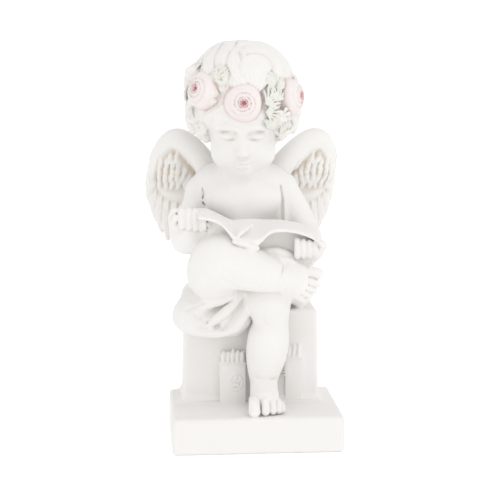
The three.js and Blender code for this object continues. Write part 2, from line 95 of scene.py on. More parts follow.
# The pages' near and far edges: x and z of their tops.
NEAR_EDGE = [(-43, 170.5), (-37, 169.6), (-31, 168), (-26, 165.2), (-22.5, 161.6), (-19, 157.4),
             (-15, 154.6), (-9, 153.6), (-3, 153.4), (1.7, 155), (6, 158.6), (11, 160.7),
             (18.5, 160.9), (26, 159.8), (33, 157.5), (38, 155), (42, 151.6), (44.5, 148.6)]
FAR_EDGE = [(-43, 172.4), (-36, 172.2), (-30.4, 170.2), (-24, 167.2), (-19.5, 164.8), (-16, 163.8),
            (-12.5, 164.3), (-1, 164.5), (5.5, 163.9), (18.5, 163.4), (30, 161.4), (38, 158.8),
            (46, 153)]

WING_MIDDLE = -5.5
WING_LEAN = 3.6  # how far both wings' tops stand over towards the figure's left
# Stations of a wing from its root to its outer edge: distance out from the middle, y, z, radius.
WING_ARM = [(20, 29, 186, 9), (31, 33, 202, 9), (45, 38, 214, 9.5), (54, 41, 216, 9.5),
            (61, 43, 208, 8), (64.5, 44.5, 196, 6), (66, 45, 184, 4.5)]


# ------------------------------------------------------------------ clay
Form = namedtuple("Form", "distance low high")


def smooth_min(a, b, soft):
    """The lesser of two distances, with a fillet of about the given size where they meet."""
    if soft <= 0:
        return np.minimum(a, b)
    share = np.maximum(soft - np.abs(a - b), 0) / soft
    return np.minimum(a, b) - share * share * soft / 4


def crop(axes, low, high):
    """The slices of open coordinate arrays that lie in a box, and the arrays cut to it."""
    cuts = []
    for k, values in enumerate(axes):
        line = values.ravel()
        first = int(np.searchsorted(line, low[k]))
        last = int(np.searchsorted(line, high[k]))
        cuts.append(slice(first, max(first, last)))
    cuts = tuple(cuts)
    parts = [
        axes[0][cuts[0], :, :],
        axes[1][:, cuts[1], :],
        axes[2][:, :, cuts[2]],
    ]
    return cuts, parts


class Clay:
    """A signed distance on a grid, in design millimetres: negative inside the stone."""

    def __init__(self, low, high, cell):
        self.cell = cell
        self.low = np.array(low, float)
        count = np.ceil((np.array(high, float) - self.low) / cell).astype(int) + 1
        self.axes = []
        for k in range(3):
            shape = [1, 1, 1]
            shape[k] = -1
            line = (self.low[k] + cell * np.arange(count[k])).astype(np.float32)
            self.axes.append(line.reshape(shape))
        self.field = np.full(count, FAR, np.float32)
        self.tints = {}

    def work(self, form, soft):
        pad = soft + 2 * self.cell
        cuts, axes = crop(self.axes, np.array(form.low) - pad, np.array(form.high) + pad)
        return cuts, form.distance(*axes)

    def add(self, form, soft=2.0, tint=None):
        """Join a form on, and let its paint, or bare stone, cover the paint below it."""
        cuts, distance = self.work(form, soft)
        here = self.field[cuts]
        if tint or self.tints:
            cover = np.clip(1.3 - distance, 0, 1)
            for name, grid in self.tints.items():
                if name != tint:
                    grid[cuts] *= 1 - cover
            if tint:
                grid = self.tints.setdefault(tint, np.zeros(self.field.shape, np.float32))
                grid[cuts] = np.maximum(grid[cuts], cover)
        self.field[cuts] = smooth_min(here, distance, soft)

    def cut(self, form, soft=1.0):
        """Carve a form away."""
        cuts, distance = self.work(form, soft)
        self.field[cuts] = -smooth_min(-self.field[cuts], distance, soft)

    def dab(self, tint, form):
        """Paint where a form's distance is below zero, over what is there."""
        cuts, distance = self.work(form, 0)
        grid = self.tints.setdefault(tint, np.zeros(self.field.shape, np.float32))
        grid[cuts] = np.maximum(grid[cuts], np.clip(-distance, 0, 1))

    def sample(self, grid, points):
        """A grid's values at points, read between the cells."""
        at = (points - self.low) / self.cell
        base = np.clip(np.floor(at).astype(int), 0, np.array(grid.shape) - 2)
        part = np.clip(at - base, 0, 1)
        total = np.zeros(len(points))
        for corner in np.ndindex(2, 2, 2):
            weight = np.ones(len(points))
            for k in range(3):
                weight *= part[:, k] if corner[k] else 1 - part[:, k]
            i, j, k = (base + np.array(corner)).T
            total += weight * grid[i, j, k]
        return total


def turn_matrix(x=0.0, y=0.0, z=0.0):
    """A turn by degrees about x, then y, then z, as a 3 by 3 array."""
    turns = [Matrix.Rotation(math.radians(angle), 3, axis) for angle, axis in zip((z, y, x), "ZYX")]
    return np.array(turns[0] @ turns[1] @ turns[2])


class Frame:
    """A place and a turn: a head, a rose or a leaf is drawn in a frame of its own."""

    def __init__(self, at, matrix):
        self.origin = np.array(at, float)
        self.matrix = np.array(matrix, float)

    def at(self, x, y, z):
        return self.origin + self.matrix @ np.array([x, y, z], float)

    def stations(self, stations):
        return [(*self.at(x, y, z), r) for x, y, z, r in stations]

    def inside(self, x, y, z):
        """World coordinates as coordinates of this frame."""
        px, py, pz = x - self.origin[0], y - self.origin[1], z - self.origin[2]
        m = self.matrix
        return [px * m[0, k] + py * m[1, k] + pz * m[2, k] for k in range(3)]


def ellipsoid(at, radii, turn=None):
    at, radii = np.array(at, float), np.array(radii, float)
    reach = radii if turn is None else np.full(3, radii.max())

    def distance(x, y, z):
        p = [x - at[0], y - at[1], z - at[2]]
        if turn is not None:
            p = [p[0] * turn[0, k] + p[1] * turn[1, k] + p[2] * turn[2, k] for k in range(3)]
        size = np.sqrt(sum((q / r) ** 2 for q, r in zip(p, radii)))
        slope = np.sqrt(sum((q / r**2) ** 2 for q, r in zip(p, radii)))
        return (size * (size - 1) / np.maximum(slope, 1e-6)).astype(np.float32)

    return Form(distance, at - reach, at + reach)


WORLD = Frame((0, 0, 0), np.eye(3))


def trace(kit, place, line, start=-70.0, end=20.0, lift=0.0):
    """Stations (x, z, radius) of a place's own axes, set on the surface met from its front."""
    depths = np.arange(start, end, kit.cell / 2)
    stations = []
    for x, z, r in line:
        points = np.array([place.at(x, y, z) for y in depths])
        inside = kit.sample(kit.field, points) < 0
        if inside.any():
            stations.append((*place.at(x, depths[int(np.argmax(inside))] + lift, z), r))
    return stations


def smooth_path(stations, step):
    """Points and radii every few millimetres along a curve through the stations."""
    knots = np.array(stations, float)
    ends = [2 * knots[0] - knots[1], *knots, 2 * knots[-1] - knots[-2]]
    path = [knots[0]]
    for i in range(1, len(ends) - 2):
        a, b, c, d = ends[i - 1], ends[i], ends[i + 1], ends[i + 2]
        count = max(2, int(np.linalg.norm((c - b)[:3]) / step))
        for t in np.arange(1, count + 1) / count:
            path.append(
                0.5 * (2 * b + (c - a) * t + (2 * a - 5 * b + 4 * c - d) * t**2
                       + (3 * b - a - 3 * c + d) * t**3)
            )
    path = np.array(path)
    return path[:, :3], np.maximum(path[:, 3], 0.3)


def limb(stations, flat=1.0, face=(0, 1, 0), step=3.0, strands=None):
    """
    A round or flattened limb along a curve. flat is its thickness as a share of its width,
    measured towards face. strands = (pitch, depth, slant) cuts fine grooves in it: along it with
    a slant of 0, as in hair, or slanting out from its middle line, as in a feather.
    """
    points, radii = smooth_path(stations, step)
    reach = radii.max()
    face = np.array(face, float)
    lengths = np.concatenate([[0], np.cumsum(np.linalg.norm(np.diff(points, axis=0), axis=1))])

    def distance(x, y, z):
        out = np.full(np.broadcast_shapes(x.shape, y.shape, z.shape), FAR, np.float32)
        for a, b, ra, rb, start in zip(points, points[1:], radii, radii[1:], lengths):
            pad = max(ra, rb) + REACH
            cuts, (u, v, w) = crop((x, y, z), np.minimum(a, b) - pad, np.maximum(a, b) + pad)
            if min(s.stop - s.start for s in cuts) <= 0:
                continue
            along = b - a
            size = max(np.linalg.norm(along), 1e-6)
            px, py, pz = u - a[0], v - a[1], w - a[2]
            t = (px * along[0] + py * along[1] + pz * along[2]) / size**2
            t = np.clip(t, 0, 1)
            px, py, pz = px - t * along[0], py - t * along[1], pz - t * along[2]
            radius = ra + t * (rb - ra)
            gap = np.sqrt(px * px + py * py + pz * pz)
            if flat != 1.0 or strands:
                side = np.cross(along, face)
                side /= np.linalg.norm(side) + 1e-9
                thin = np.cross(side, along)
                thin /= np.linalg.norm(thin) + 1e-9
            if strands:
                pitch, depth, slant = strands
                across = np.abs(px * side[0] + py * side[1] + pz * side[2])
                phase = across - slant * (start + t * size)
                radius = radius - depth * (0.5 - 0.5 * np.cos(phase * (2 * math.pi / pitch)))
            if flat != 1.0:
                n = px * thin[0] + py * thin[1] + pz * thin[2]
                wide = np.sqrt(gap * gap + n * n * (1 / flat**2 - 1))
                share = 1 - radius / np.maximum(wide, 1e-4)
                part = np.where(wide > 1e-4, gap * share, -radius * flat)
            else:
                part = gap - radius
            out[cuts] = np.minimum(out[cuts], part)
        return out

    return Form(distance, points.min(0) - reach, points.max(0) + reach)


def slab_form(at, half, round_edge, taper=1.0):
    """A box with rounded edges, at its centre, narrowing by the taper towards its top."""
    at, half = np.array(at, float), np.array(half, float)

    def distance(x, y, z):
        share = 1 + (taper - 1) * (z - at[2] + half[2]) / (2 * half[2])
        qx = np.abs(x - at[0]) - half[0] * share + round_edge
        qy = np.abs(y - at[1]) - half[1] * share + round_edge
        qz = np.abs(z - at[2]) - half[2] + round_edge
        outside = np.sqrt(np.maximum(qx, 0) ** 2 + np.maximum(qy, 0) ** 2 + np.maximum(qz, 0) ** 2)
        inside = np.minimum(np.maximum(np.maximum(qx, qy), qz), 0)
        return (outside + inside - round_edge).astype(np.float32)

    return Form(distance, at - half, at + half)


def mesh_of(clay):
    """The surface of the clay as vertices and four-sided faces, by naive surface nets."""
    field = clay.field
    inside = field < 0
    total = np.zeros(np.array(field.shape) - 1, np.uint8)
    shape = total.shape
    for i, j, k in np.ndindex(2, 2, 2):
        total += inside[i:i + shape[0], j:j + shape[1], k:k + shape[2]]
    active = (total > 0) & (total < 8)
    cells = np.argwhere(active)
    number = np.full(shape, -1, np.int32)
    number[active] = np.arange(len(cells))
    point = np.zeros((len(cells), 3))
    count = np.zeros(len(cells))
    corners = list(np.ndindex(2, 2, 2))
    for a in corners:
        for b in corners:
            if sum(b) - sum(a) != 1 or any(q < p for p, q in zip(a, b)):
                continue
            va = field[tuple((cells + a).T)]
            vb = field[tuple((cells + b).T)]
            crossed = (va < 0) != (vb < 0)
            t = np.where(crossed, va / np.where(crossed, va - vb, 1), 0)
            step = np.array(b) - np.array(a)
            point[crossed] += (np.array(a) + t[:, None] * step)[crossed]
            count += crossed
    vertices = clay.low + clay.cell * (cells + point / count[:, None])
    faces = []
    for axis in range(3):
        one, two = (axis + 1) % 3, (axis + 2) % 3
        low = [slice(None)] * 3
        high = [slice(None)] * 3
        low[axis] = slice(0, -1)
        high[axis] = slice(1, None)
        before, after = inside[tuple(low)], inside[tuple(high)]
        for flip in (False, True):
            edges = np.argwhere((before & ~after) if flip else (~before & after))
            keep = (edges[:, one] > 0) & (edges[:, two] > 0)
            keep &= (edges[:, one] < shape[one]) & (edges[:, two] < shape[two])
            edges = edges[keep]
            ring = []
            for p, q in ((0, 0), (1, 0), (1, 1), (0, 1)):
                cell = edges.copy()
                cell[:, one] -= p
                cell[:, two] -= q
                ring.append(number[tuple(cell.T)])
            quad = np.stack(ring if flip else ring[::-1], axis=1)
            faces.append(quad)
    return vertices, np.concatenate(faces)


def add_rounds(kit, rounds, turn=None):
    """Join on rounded forms, each given by its centre, radii and fillet."""
    for at, radii, soft in rounds:
        kit.add(ellipsoid(at, radii, turn), soft)


def add_limbs(kit, limbs):
    """Join on plain limbs, each given by its stations and fillet."""
    for stations, soft in limbs:
        kit.add(limb(stations), soft)


def cut_lines(kit, lines, soft, **settings):
    """Carve lines along their stations."""
    for line in lines:
        kit.cut(limb(line, **settings), soft)


clay = None  # the Clay being worked, made by the first operator


# ------------------------------------------------------------------ base
# The two books on their ends: where they stand, and how far they stand out from the block.
LARGE_BOOK = {"x": -15.6, "width": 19.2, "proud": 6.0, "height": 31.2, "pages": 5}
SMALL_BOOK = {"x": 29.6, "width": 13.2, "proud": 1.7, "height": 33.4, "pages": 3}
BOOK_DEPTH = 12.0
SUNK = 4  # how far the block runs down into the slab, so that the two are one stone


def model_base(kit):
    """The slab, the block with its cove, and the two small books standing against the block."""
    width, depth, height = SLAB["width"], SLAB["depth"], SLAB["height"]
    kit.add(slab_form((0, 0, height / 2), (width / 2, depth / 2, height / 2), SLAB["round"]), 0)
    tall = BLOCK["height"] + SUNK
    at = (BLOCK["x"], BLOCK["y"], SEAT - tall / 2)
    half = (BLOCK["width"] / 2, BLOCK["depth"] / 2, tall / 2)
    kit.add(slab_form(at, half, BLOCK["round"], BLOCK["taper"]), BLOCK["cove"])
    foot = (BLOCK["x"], BLOCK["y"], SLAB["height"])
    kit.add(slab_form(foot, (half[0] + 0.8, half[1] + 0.8, 2.0), 1.0), BLOCK["cove"])
    front = BLOCK["y"] - BLOCK["depth"] / 2
    standing_book(kit, front, **LARGE_BOOK)
    rosette(kit, (-13.4, front - LARGE_BOOK["proud"], 42.2))
    standing_book(kit, front, **SMALL_BOOK)
    for i in range(4):
        z = 46 + 2.4 * i
        rib = [(21.0 + 0.5 * i, front - 1.2, z - 0.6, 0.7), (26.4, front - 1.2, z + 0.4, 0.8)]
        kit.add(limb(rib), 0.5)


def standing_book(kit, front, x, width, proud, height, pages):
    """A small book on its end: its board, the ends of its pages above, and a band between."""
    face, foot = front - proud, SLAB["height"]
    board = (x, face + BOOK_DEPTH / 2, foot + height / 2)
    kit.add(slab_form(board, (width / 2, BOOK_DEPTH / 2, height / 2), 0.7), 0.8)
    block = (x, face + BOOK_DEPTH / 2 + 1.3, foot + height / 2 + 3.6)
    kit.add(slab_form(block, (width / 2 - 0.8, BOOK_DEPTH / 2, height / 2 + 3.6), 0.7), 0.5)
    pitch = (width - 2) / pages
    for i in range(pages):
        at = x + (i - (pages - 1) / 2) * pitch
        top = foot + height + 8 + 1.3 * math.sin(2.1 * i + x)
        leaf_end = [(at - 0.3, face + 1.0, foot + height + 0.5, pitch * 0.36),
                    (at, face + 1.1, (foot + height + top) / 2, pitch * 0.40),
                    (at + 0.3, face + 1.6, top, pitch * 0.34)]
        kit.add(limb(leaf_end, flat=0.8), 0.4)
    band = [(x + hand * (width / 2 - 0.6), face, foot + height - 1.2, 0.7) for hand in (-1, 1)]
    kit.add(limb(band), 0.4)


def rosette(kit, centre):
    """A plain rosette in an oval ring, in low relief on the larger standing book."""
    x, y, z = centre
    ring = [(x + 4.4 * math.cos(a), y, z + 6.0 * math.sin(a), 0.75)
            for a in np.linspace(0, 2 * math.pi, 13)]
    kit.add(limb(ring, step=1.5), 0.4)
    for k in range(5):
        a = 2 * math.pi * k / 5 + 0.3
        kit.add(ellipsoid((x + 2.1 * math.cos(a), y, z + 2.9 * math.sin(a)), (1.35, 1.3, 1.7)), 0.2)
    kit.add(ellipsoid(centre, (1.0, 1.6, 1.0)), 0.2)


# ------------------------------------------------------------------ figure
def digit(kit, root, middle, tip, radii, soft=0.7):
    """A finger or a toe, from its root over its knuckle to its rounded tip."""
    kit.add(limb([(*p, r) for p, r in zip((root, middle, tip), radii)], step=1.5), soft)


TRUNK_MIDDLE = -8
# Rounded forms, here and below: centre, radii and fillet.
TRUNK = [((TRUNK_MIDDLE, 18, SEAT + 15), (39, 25, 23), 2),
         ((TRUNK_MIDDLE, 8, 140), (29.5, 23, 27), 6),
         ((TRUNK_MIDDLE, 11, 168), (29, 18.5, 26), 6),
         ((-9, 14, 190), (31, 15.5, 15), 6)]
BACK_LINE = [(-8, 37, 200, 1.2), (-8, 37, 176, 1.6), (-8, 35, 150, 1.8), (-8, 38, 128, 1.2)]


def model_trunk(kit):
    """The torso: seat, belly, chest and shoulders run into one another."""
    add_rounds(kit, TRUNK)
    add_limbs(kit, [(SHOULDERS, 6), (NECK, 5)])
    for side in (-1, 1):
        add_rounds(kit, [((TRUNK_MIDDLE + side * 13.5, -0.5, 177), (14, 9, 11), 7),
                         ((TRUNK_MIDDLE + side * 14, 26, 176), (13, 8, 18), 8)])
    kit.cut(limb(BACK_LINE), 6)


# Toes of the standing foot: x, the height of the root, the radius, the height of the tip.
STANDING_TOES = [(-3.0, 36.0, 4.3, 29.6), (5.0, 37.0, 3.0, 29.4), (10.6, 36.6, 2.5, 29.2),
                 (15.0, 35.4, 2.3, 29.0), (18.0, 33.4, 1.9, 28.6)]
STANDING_CREASES = [([(-2, -22, 50.5, 0.5), (6, -26.6, 48.6, 0.7), (13.5, -21, 48.6, 0.5)], 3.0),
                    ([(-4, -24, 89, 0.8), (0, -32.5, 90, 0.8), (4, -35, 92, 0.4)], 4.5)]
# Toes of the crossed foot: root, middle, tip, and the three radii.
CROSSED_TOES = [
    ((33, -40, 129), (37.5, -41.5, 129.2), (41.2, -41, 128.4), (3.6, 3.9, 4.3)),
    ((31.5, -41.5, 123.6), (36.5, -43.5, 122.8), (40.6, -42.5, 121.2), (2.6, 2.7, 2.7)),
    ((30, -41.5, 119.6), (34.8, -43.5, 118.6), (38.6, -42.5, 116.8), (2.4, 2.5, 2.5)),
    ((28, -41, 115.8), (32.6, -43, 114.6), (36, -42, 112.8), (2.3, 2.35, 2.35)),
    ((25.6, -39.5, 112.6), (29.4, -41.5, 111.2), (32.2, -40.5, 109.6), (2.1, 2.2, 2.2)),
]
ANKLE_CREASE = [(17.5, -43, 135, 0.3), (15.4, -49, 128.5, 0.5), (15.2, -49.6, 122, 0.5),
                (15.5, -46, 116, 0.3)]
# The fold behind the crossed knee, between the thigh and the calf.
KNEE_FOLD = [(-30, -51.5, 130.5, 0.3), (-26, -50.5, 125, 1.6), (-20, -48, 118.8, 2.8),
             (-12, -46.5, 115.2, 2.8), (-3, -45, 113.0, 1.4)]


def model_legs(kit):
    """The standing leg, then the leg crossed over it, so that the fold between stays crisp."""
    add_limbs(kit, [(STANDING_THIGH, 4), (STANDING_SHIN, 1.5)])
    add_rounds(kit, [((9, -28.5, 105), (12.5, 12, 12), 3)])
    add_limbs(kit, [(STANDING_FOOT, 4)])
    add_rounds(kit, [((5.8, -28, 30), (12, 10.5, 5), 3)])
    # The toes' tips stand on a curve: the further out, the further back.
    for i, (x, high, r, low) in enumerate(STANDING_TOES):
        y = -41.5 + 0.6 * i + 0.25 * i * i
        digit(kit, (x * 0.9, y + 9, high), (x, y + 3, high - 1.2), (x, y, low),
              (r * 0.85, r * 0.92, r), 0.5)
    for crease, soft in STANDING_CREASES:
        kit.cut(limb(crease), soft)
    add_limbs(kit, [(CROSSED_THIGH, 1.5), (CROSSED_SHIN, 2.0)])
    add_rounds(kit, [((-27.5, -31, 137.5), (18.2, 18.5, 19), 5),
                     ((-27.5, -13, 125), (19.4, 21, 20.5), 6)])
    kit.add(limb(CROSSED_FOOT, flat=0.85), 2.5)
    add_rounds(kit, [((22, -32, 117), (8.5, 8, 7.5), 3)])
    add_limbs(kit, [([(20, -37, 129.5, 4.5), (30, -39, 129, 5)], 3)])
    for root, middle, tip, radii in CROSSED_TOES:
        digit(kit, root, middle, tip, radii, 0.35)
    for upper, lower in zip(CROSSED_TOES, CROSSED_TOES[1:]):
        groove = [(*((np.array(p) + q) / 2 + (lift, -1.8, 0)), r)
                  for p, q, lift, r in zip(upper, lower, (1.0, 0, 0), (0.3, 0.55, 0.6))]
        kit.cut(limb(groove, step=1.5), 0.5)
    kit.cut(limb(ANKLE_CREASE), 3.2)
    kit.cut(limb(KNEE_FOLD), 3.4)


# The stone that fills between the left arm and the chest.
LEFT_SIDE = [(20.6, 7, 184, 3.5), (20.8, 4.5, 174, 4.5), (21, 3, 162, 4.5), (21, 1, 150, 4)]
# The lines where the right and the left arm leave the chest: x, z and radius.
ARM_LINES = [
    [(-37.3, 185, 0.4), (-36.3, 180, 1.1), (-35.7, 173, 1.4), (-35.5, 165, 1.2), (-35.7, 158, 0.8)],
    [(19.2, 187, 0.4), (20.0, 181, 1.1), (20.5, 173, 1.4), (20.8, 164, 1.4), (21, 154, 1.0)],
]


def model_arms(kit):
    """Both arms bent to the book."""
    add_limbs(kit, [(RIGHT_ARM, 2.5)])
    add_rounds(kit, [((-49, -21, 153.5), (11, 10.5, 12), 3),
                     ((-49, -21.5, 164), (10.5, 7, 9.5), 4)])
    add_limbs(kit, [([(-56, -14, 155, 6), (-57.5, -20, 161, 4.6)], 3),
                    ([(-44, -20, 150, 6), (-37, -24, 157, 6), (-34, -27, 160, 5)], 3)])
    add_rounds(kit, [((-36.5, -31.5, 163.5), (3.6, 6, 5), 1.5), ((-56, -23, 163), (4, 5, 7), 2)])
    add_limbs(kit, [(LEFT_ARM, 2.5)])
    add_rounds(kit, [((37, -26, 142.5), (10, 9.5, 9.2), 3), ((40, -32, 143.5), (7, 7.5, 6), 3)])
    add_limbs(kit, [(LEFT_SIDE, 2.5)])
    for line in ARM_LINES:
        kit.cut(limb(trace(kit, WORLD, line, end=6.0, lift=0.9), step=2), 0.6)


# The thumb and the hand's edge at the right, and the thumb at the left: root, middle, tip, radii
# and fillet.
THUMBS = [((-58, -16, 158), (-59.6, -21, 166), (-58.4, -26.5, 171.4), (3.8, 3.2, 2.8), 0.8),
          ((-58, -20, 159), (-59.0, -27, 163.5), (-57.6, -30, 167.5), (3.2, 2.6, 2.3), 0.6),
          ((44, -24, 143), (46, -32, 146.5), (44.2, -39, 149), (3.8, 3.3, 2.8), 1.2)]


def model_hands(kit):
    """The fingers, added after the book that they hold."""
    for i, x in enumerate((-53.6, -48.8, -44.0, -39.4)):
        high = 174.6 - 0.25 * i * i
        digit(kit, (x - 0.6, -23.5, high - 4), (x, -29.8, high - 3.0),
              (x + 0.3, -31.0, 161.0 - 0.5 * i), (2.6, 2.7, 2.45), 0.35)
    for thumb in THUMBS[:2]:
        digit(kit, *thumb)
    for i, x in enumerate((27.2, 31.6, 35.8, 39.8)):
        digit(kit, (x + 0.8, -32, 138.2 + 0.4 * i), (x, -40.5, 142.6 + 0.2 * i),
              (x - 0.3, -41.5, 151.8 - 0.7 * i), (2.3, 2.35, 2.1), 0.3)
    digit(kit, *THUMBS[2])


# ------------------------------------------------------------------ drapery
HEM = [(-55, 8, 96, 3.2), (-55.2, -4, 89.5, 3.6), (-47, -11.5, 84, 3.6), (-34.5, -15, 81.8, 3.6),
       (-23.5, -16, 82.2, 3.4), (-14.5, -16.5, 85, 3.0), (-7.5, -17, 90, 2.4)]
SWAG_RIDGES = [
    [(-4.5, -24, 113, 1.6), (-5.5, -23.5, 104, 2.8), (-9.0, -22, 95, 3.6), (-14.5, -19, 86, 3.0)],
    [(-8, -23.5, 113, 1.6), (-15.5, -23, 105, 2.8), (-23.5, -20.5, 97, 3.6), (-33, -16.5, 89, 3.0)],
    [(-10, -22, 113.5, 1.4), (-22, -21, 108, 2.6), (-36, -16.5, 102.5, 3.4), (-50, -7, 98, 2.8)],
]
# Creases between the ridges: x, z and radius, on the cloth's surface.
SWAG_CREASES = [
    [(-9, 109, 0.3), (-12, 103.5, 1.2), (-15.6, 98, 1.5), (-20, 90, 1.0), (-24, 85, 0.4)],
    [(-17, 107.5, 0.3), (-21, 105, 1.0), (-26, 101.5, 1.4), (-33, 97, 1.1), (-40, 92.5, 0.4)],
    [(-36, 105, 0.3), (-41, 103, 0.8), (-46, 100.5, 0.8), (-51, 98, 0.4)],
    [(-44, 95, 0.4), (-36, 90.5, 0.9), (-27, 87.5, 0.4)],
]
LAP_FOLDS = [
    [(2, -33, 142, 2.6), (9, -35.5, 144, 2.6), (18, -36, 142.5, 3.0), (32, -30, 133.5, 3)],
    [(9, -37.5, 139, 2.0), (20, -38.5, 138, 2.4), (31, -35, 131, 2.4)],
    [(16, -18, 146, 3), (30, -14, 143, 4), (40, -8, 132, 4)],
]
SASH = [(-45, 8, 103, 8), (-41, 27, 104, 9.5), (-26, 36, 104, 9.5), (-8, 39, 104, 10),
        (12, 36, 104, 9.5), (28, 27, 104.5, 9.5), (35, 8, 104, 8)]


def model_drapery(kit):
    """The cloth under the thighs: a swag over the block's corner, drawn up between the legs."""
    add_rounds(kit, [((-33, 0, 95.5), (24.5, 16, 17.5), 3), ((-17, -7, 94), (15, 11.5, 17), 5),
                     ((-44, -4, 92), (14, 12, 13.5), 4)])
    kit.add(limb(HEM), 3.5)
    add_rounds(kit, [((-11.5, -12.5, 101), (12, 9.5, 16), 5)])
    add_limbs(kit, [(ridge, 3) for ridge in SWAG_RIDGES])
    for crease in SWAG_CREASES:
        kit.cut(limb(trace(kit, WORLD, crease), step=2), 2.2)
    add_rounds(kit, [((20, 2, 122), (25, 23, 15), 3)])
    add_limbs(kit, [(fold, 1.6) for fold in LAP_FOLDS])
    kit.add(limb(SASH, face=(0, 0, 1)), 4)
    for low, size in ((98.5, 3.0), (105.5, 2.6), (112.5, 2.8)):
        bulge = 3.0 - abs(low - 105.5) * 0.25
        fold = [(-44, 12, low, size * 0.4), (-41, 28, low + 0.5, size * 0.8),
                (-28, 37.5 + bulge, low + 1, size), (-8, 42.5 + bulge, low - 2.5, size),
                (14, 38 + bulge, low + 1, size), (29, 27, low + 1, size * 0.8),
                (33, 10, low + 1, size * 0.4)]
        kit.add(limb(fold), 2.4)


# ------------------------------------------------------------------ book
# The rolled edge of the gutter, and its root: x, y behind the near edge, z and radius.
GUTTER_ROLL = [(-17.5, -0.2, 152.4, 1.7), (-12, -0.6, 151.0, 2.0), (-6, -0.6, 149.2, 2.0),
               (-1.5, -0.2, 147.4, 1.6)]
GUTTER_ROOT = [(-6, 2, 147, 4), (-6, 12, 146, 5)]
# The corner of a page that has folded over in the gutter, and the lines beside it.
PAGE_CORNER = [(-15.5, -46, 155.4, 1.0), (-12, -43.5, 158.2, 1.7), (-7.5, -39.5, 161.0, 1.5),
               (-3.5, -36, 163.2, 0.8)]
PAGE_LINES = [[(-12.5, -47, 155.2, 0.5), (-8, -42.5, 159.0, 0.7), (-3, -37.5, 162.4, 0.4)],
              [(-16.5, -48.2, 154.2, 0.5), (-17.5, -46.5, 157.5, 0.6), (-19.5, -43, 161, 0.3)]]


def model_book(kit):
    """The open book: two thin stacks of pages, arched from the gutter, each over a hollow."""
    near = np.array(smooth_path([(x, 0, z, 1) for x, z in NEAR_EDGE], 1.0)[0])
    far = np.array(smooth_path([(x, 0, z, 1) for x, z in FAR_EDGE], 1.0)[0])
    left, right = near[0, 0], near[-1, 0]

    def heights(x, y):
        """The top of the pages, and its steepness across them."""
        line = x.ravel()
        share = np.clip((y - BOOK["near"]) / (BOOK["far"] - BOOK["near"]), -0.3, 1.3)
        low = np.interp(line, near[:, 0], near[:, 2]).reshape(x.shape)
        high = np.interp(line, far[:, 0], far[:, 2]).reshape(x.shape)
        slope = np.gradient(np.interp(line, near[:, 0], near[:, 2]), line).reshape(x.shape)
        return low + share * (high - low), np.sqrt(1 + slope**2)

    def leaves(x, y, z):
        top, lean = heights(x, y)
        gutter = np.exp(-(((x + 8) / 9) ** 2))
        thick = BOOK["leaf"] + 4.5 * gutter
        skin = (np.abs(z - top + thick / 2) - thick / 2) / lean
        ends = np.maximum(np.maximum(left - x, x - right),
                          np.maximum(BOOK["near"] - y, y - BOOK["far"]))
        return smooth_max(skin, ends, 1.2).astype(np.float32)

    def web(x, y, z):
        top, lean = heights(x, y)
        skin = (z - top + 1.0) / lean
        start, end = BOOK["inset"]
        walls = np.maximum(np.maximum(left + start - x, x - right + end),
                           BOOK["near"] + BOOK["recess"] - y)
        floor = np.maximum(BOOK["foot"] - z, y - BOOK["far"])
        return smooth_max(skin, np.maximum(walls, floor), 1.5).astype(np.float32)

    low = np.array((left, BOOK["near"], BOOK["foot"]))
    high = np.array((right, BOOK["far"], 176))
    kit.add(Form(web, low, high), 2.0)
    kit.add(Form(leaves, low, high), 0.6)
    for stations, soft in ((GUTTER_ROLL, 0.8), (GUTTER_ROOT, 2)):
        kit.add(limb([(x, BOOK["near"] + y, z, r) for x, y, z, r in stations]), soft)
    kit.add(limb(PAGE_CORNER, flat=0.7, face=(0.2, -0.7, 0.6)), 0.8)
    cut_lines(kit, PAGE_LINES, 0.8)
    # The line of the cover under the pages' near edge, broken at the gutter.
    line = [(x, BOOK["near"] - 0.1, z - 1.5, 0.3) for x, z in NEAR_EDGE if x < -20 or x > 3]
    cut_lines(kit, [[p for p in line if p[0] < 0], [p for p in line if p[0] > 0]], 0.4)


def smooth_max(a, b, soft):
    return -smooth_min(-a, -b, soft)


# ------------------------------------------------------------------ head
def head_frame():
    return Frame(HEAD["at"], turn_matrix(x=HEAD["bow"], z=HEAD["turn"]))


def over_skull(head, around, down, rise=1.0):
    """A point over the skull: degrees round it from the figure's left, and down from the crown."""
    a, b = math.radians(around), math.radians(down)
    w, d, h = HEAD["skull"]
    full = rise * (1 + 0.05 * math.sin(2 * b)) if down < 90 else rise
    return head.at(w * full * math.cos(a) * math.sin(b), d * full * math.sin(a) * math.sin(b),
                   h * full * math.cos(b))


# Lines of the face, on its surface: x out from its middle, z and radius, in the head's frame.
LID = [(4.8, -22.3, 0.5), (7.4, -23.5, 1.0), (10.6, -24.0, 1.2), (13.8, -23.5, 1.0),
       (16.8, -22.0, 0.5)]
BROW = [(4.6, -18.2, 0.4), (8.5, -17.4, 0.7), (12.5, -17.4, 0.7), (16.5, -18.6, 0.4)]
NOSTRIL = [(1.6, -35.2, 0.5), (3.4, -35.4, 0.7), (4.8, -34.4, 0.4)]
SMILE = [(-6.4, -41.2, 0.5), (-3.0, -41.9, 0.7), (0, -41.6, 0.7), (3.0, -41.9, 0.7),
         (6.4, -41.2, 0.5)]


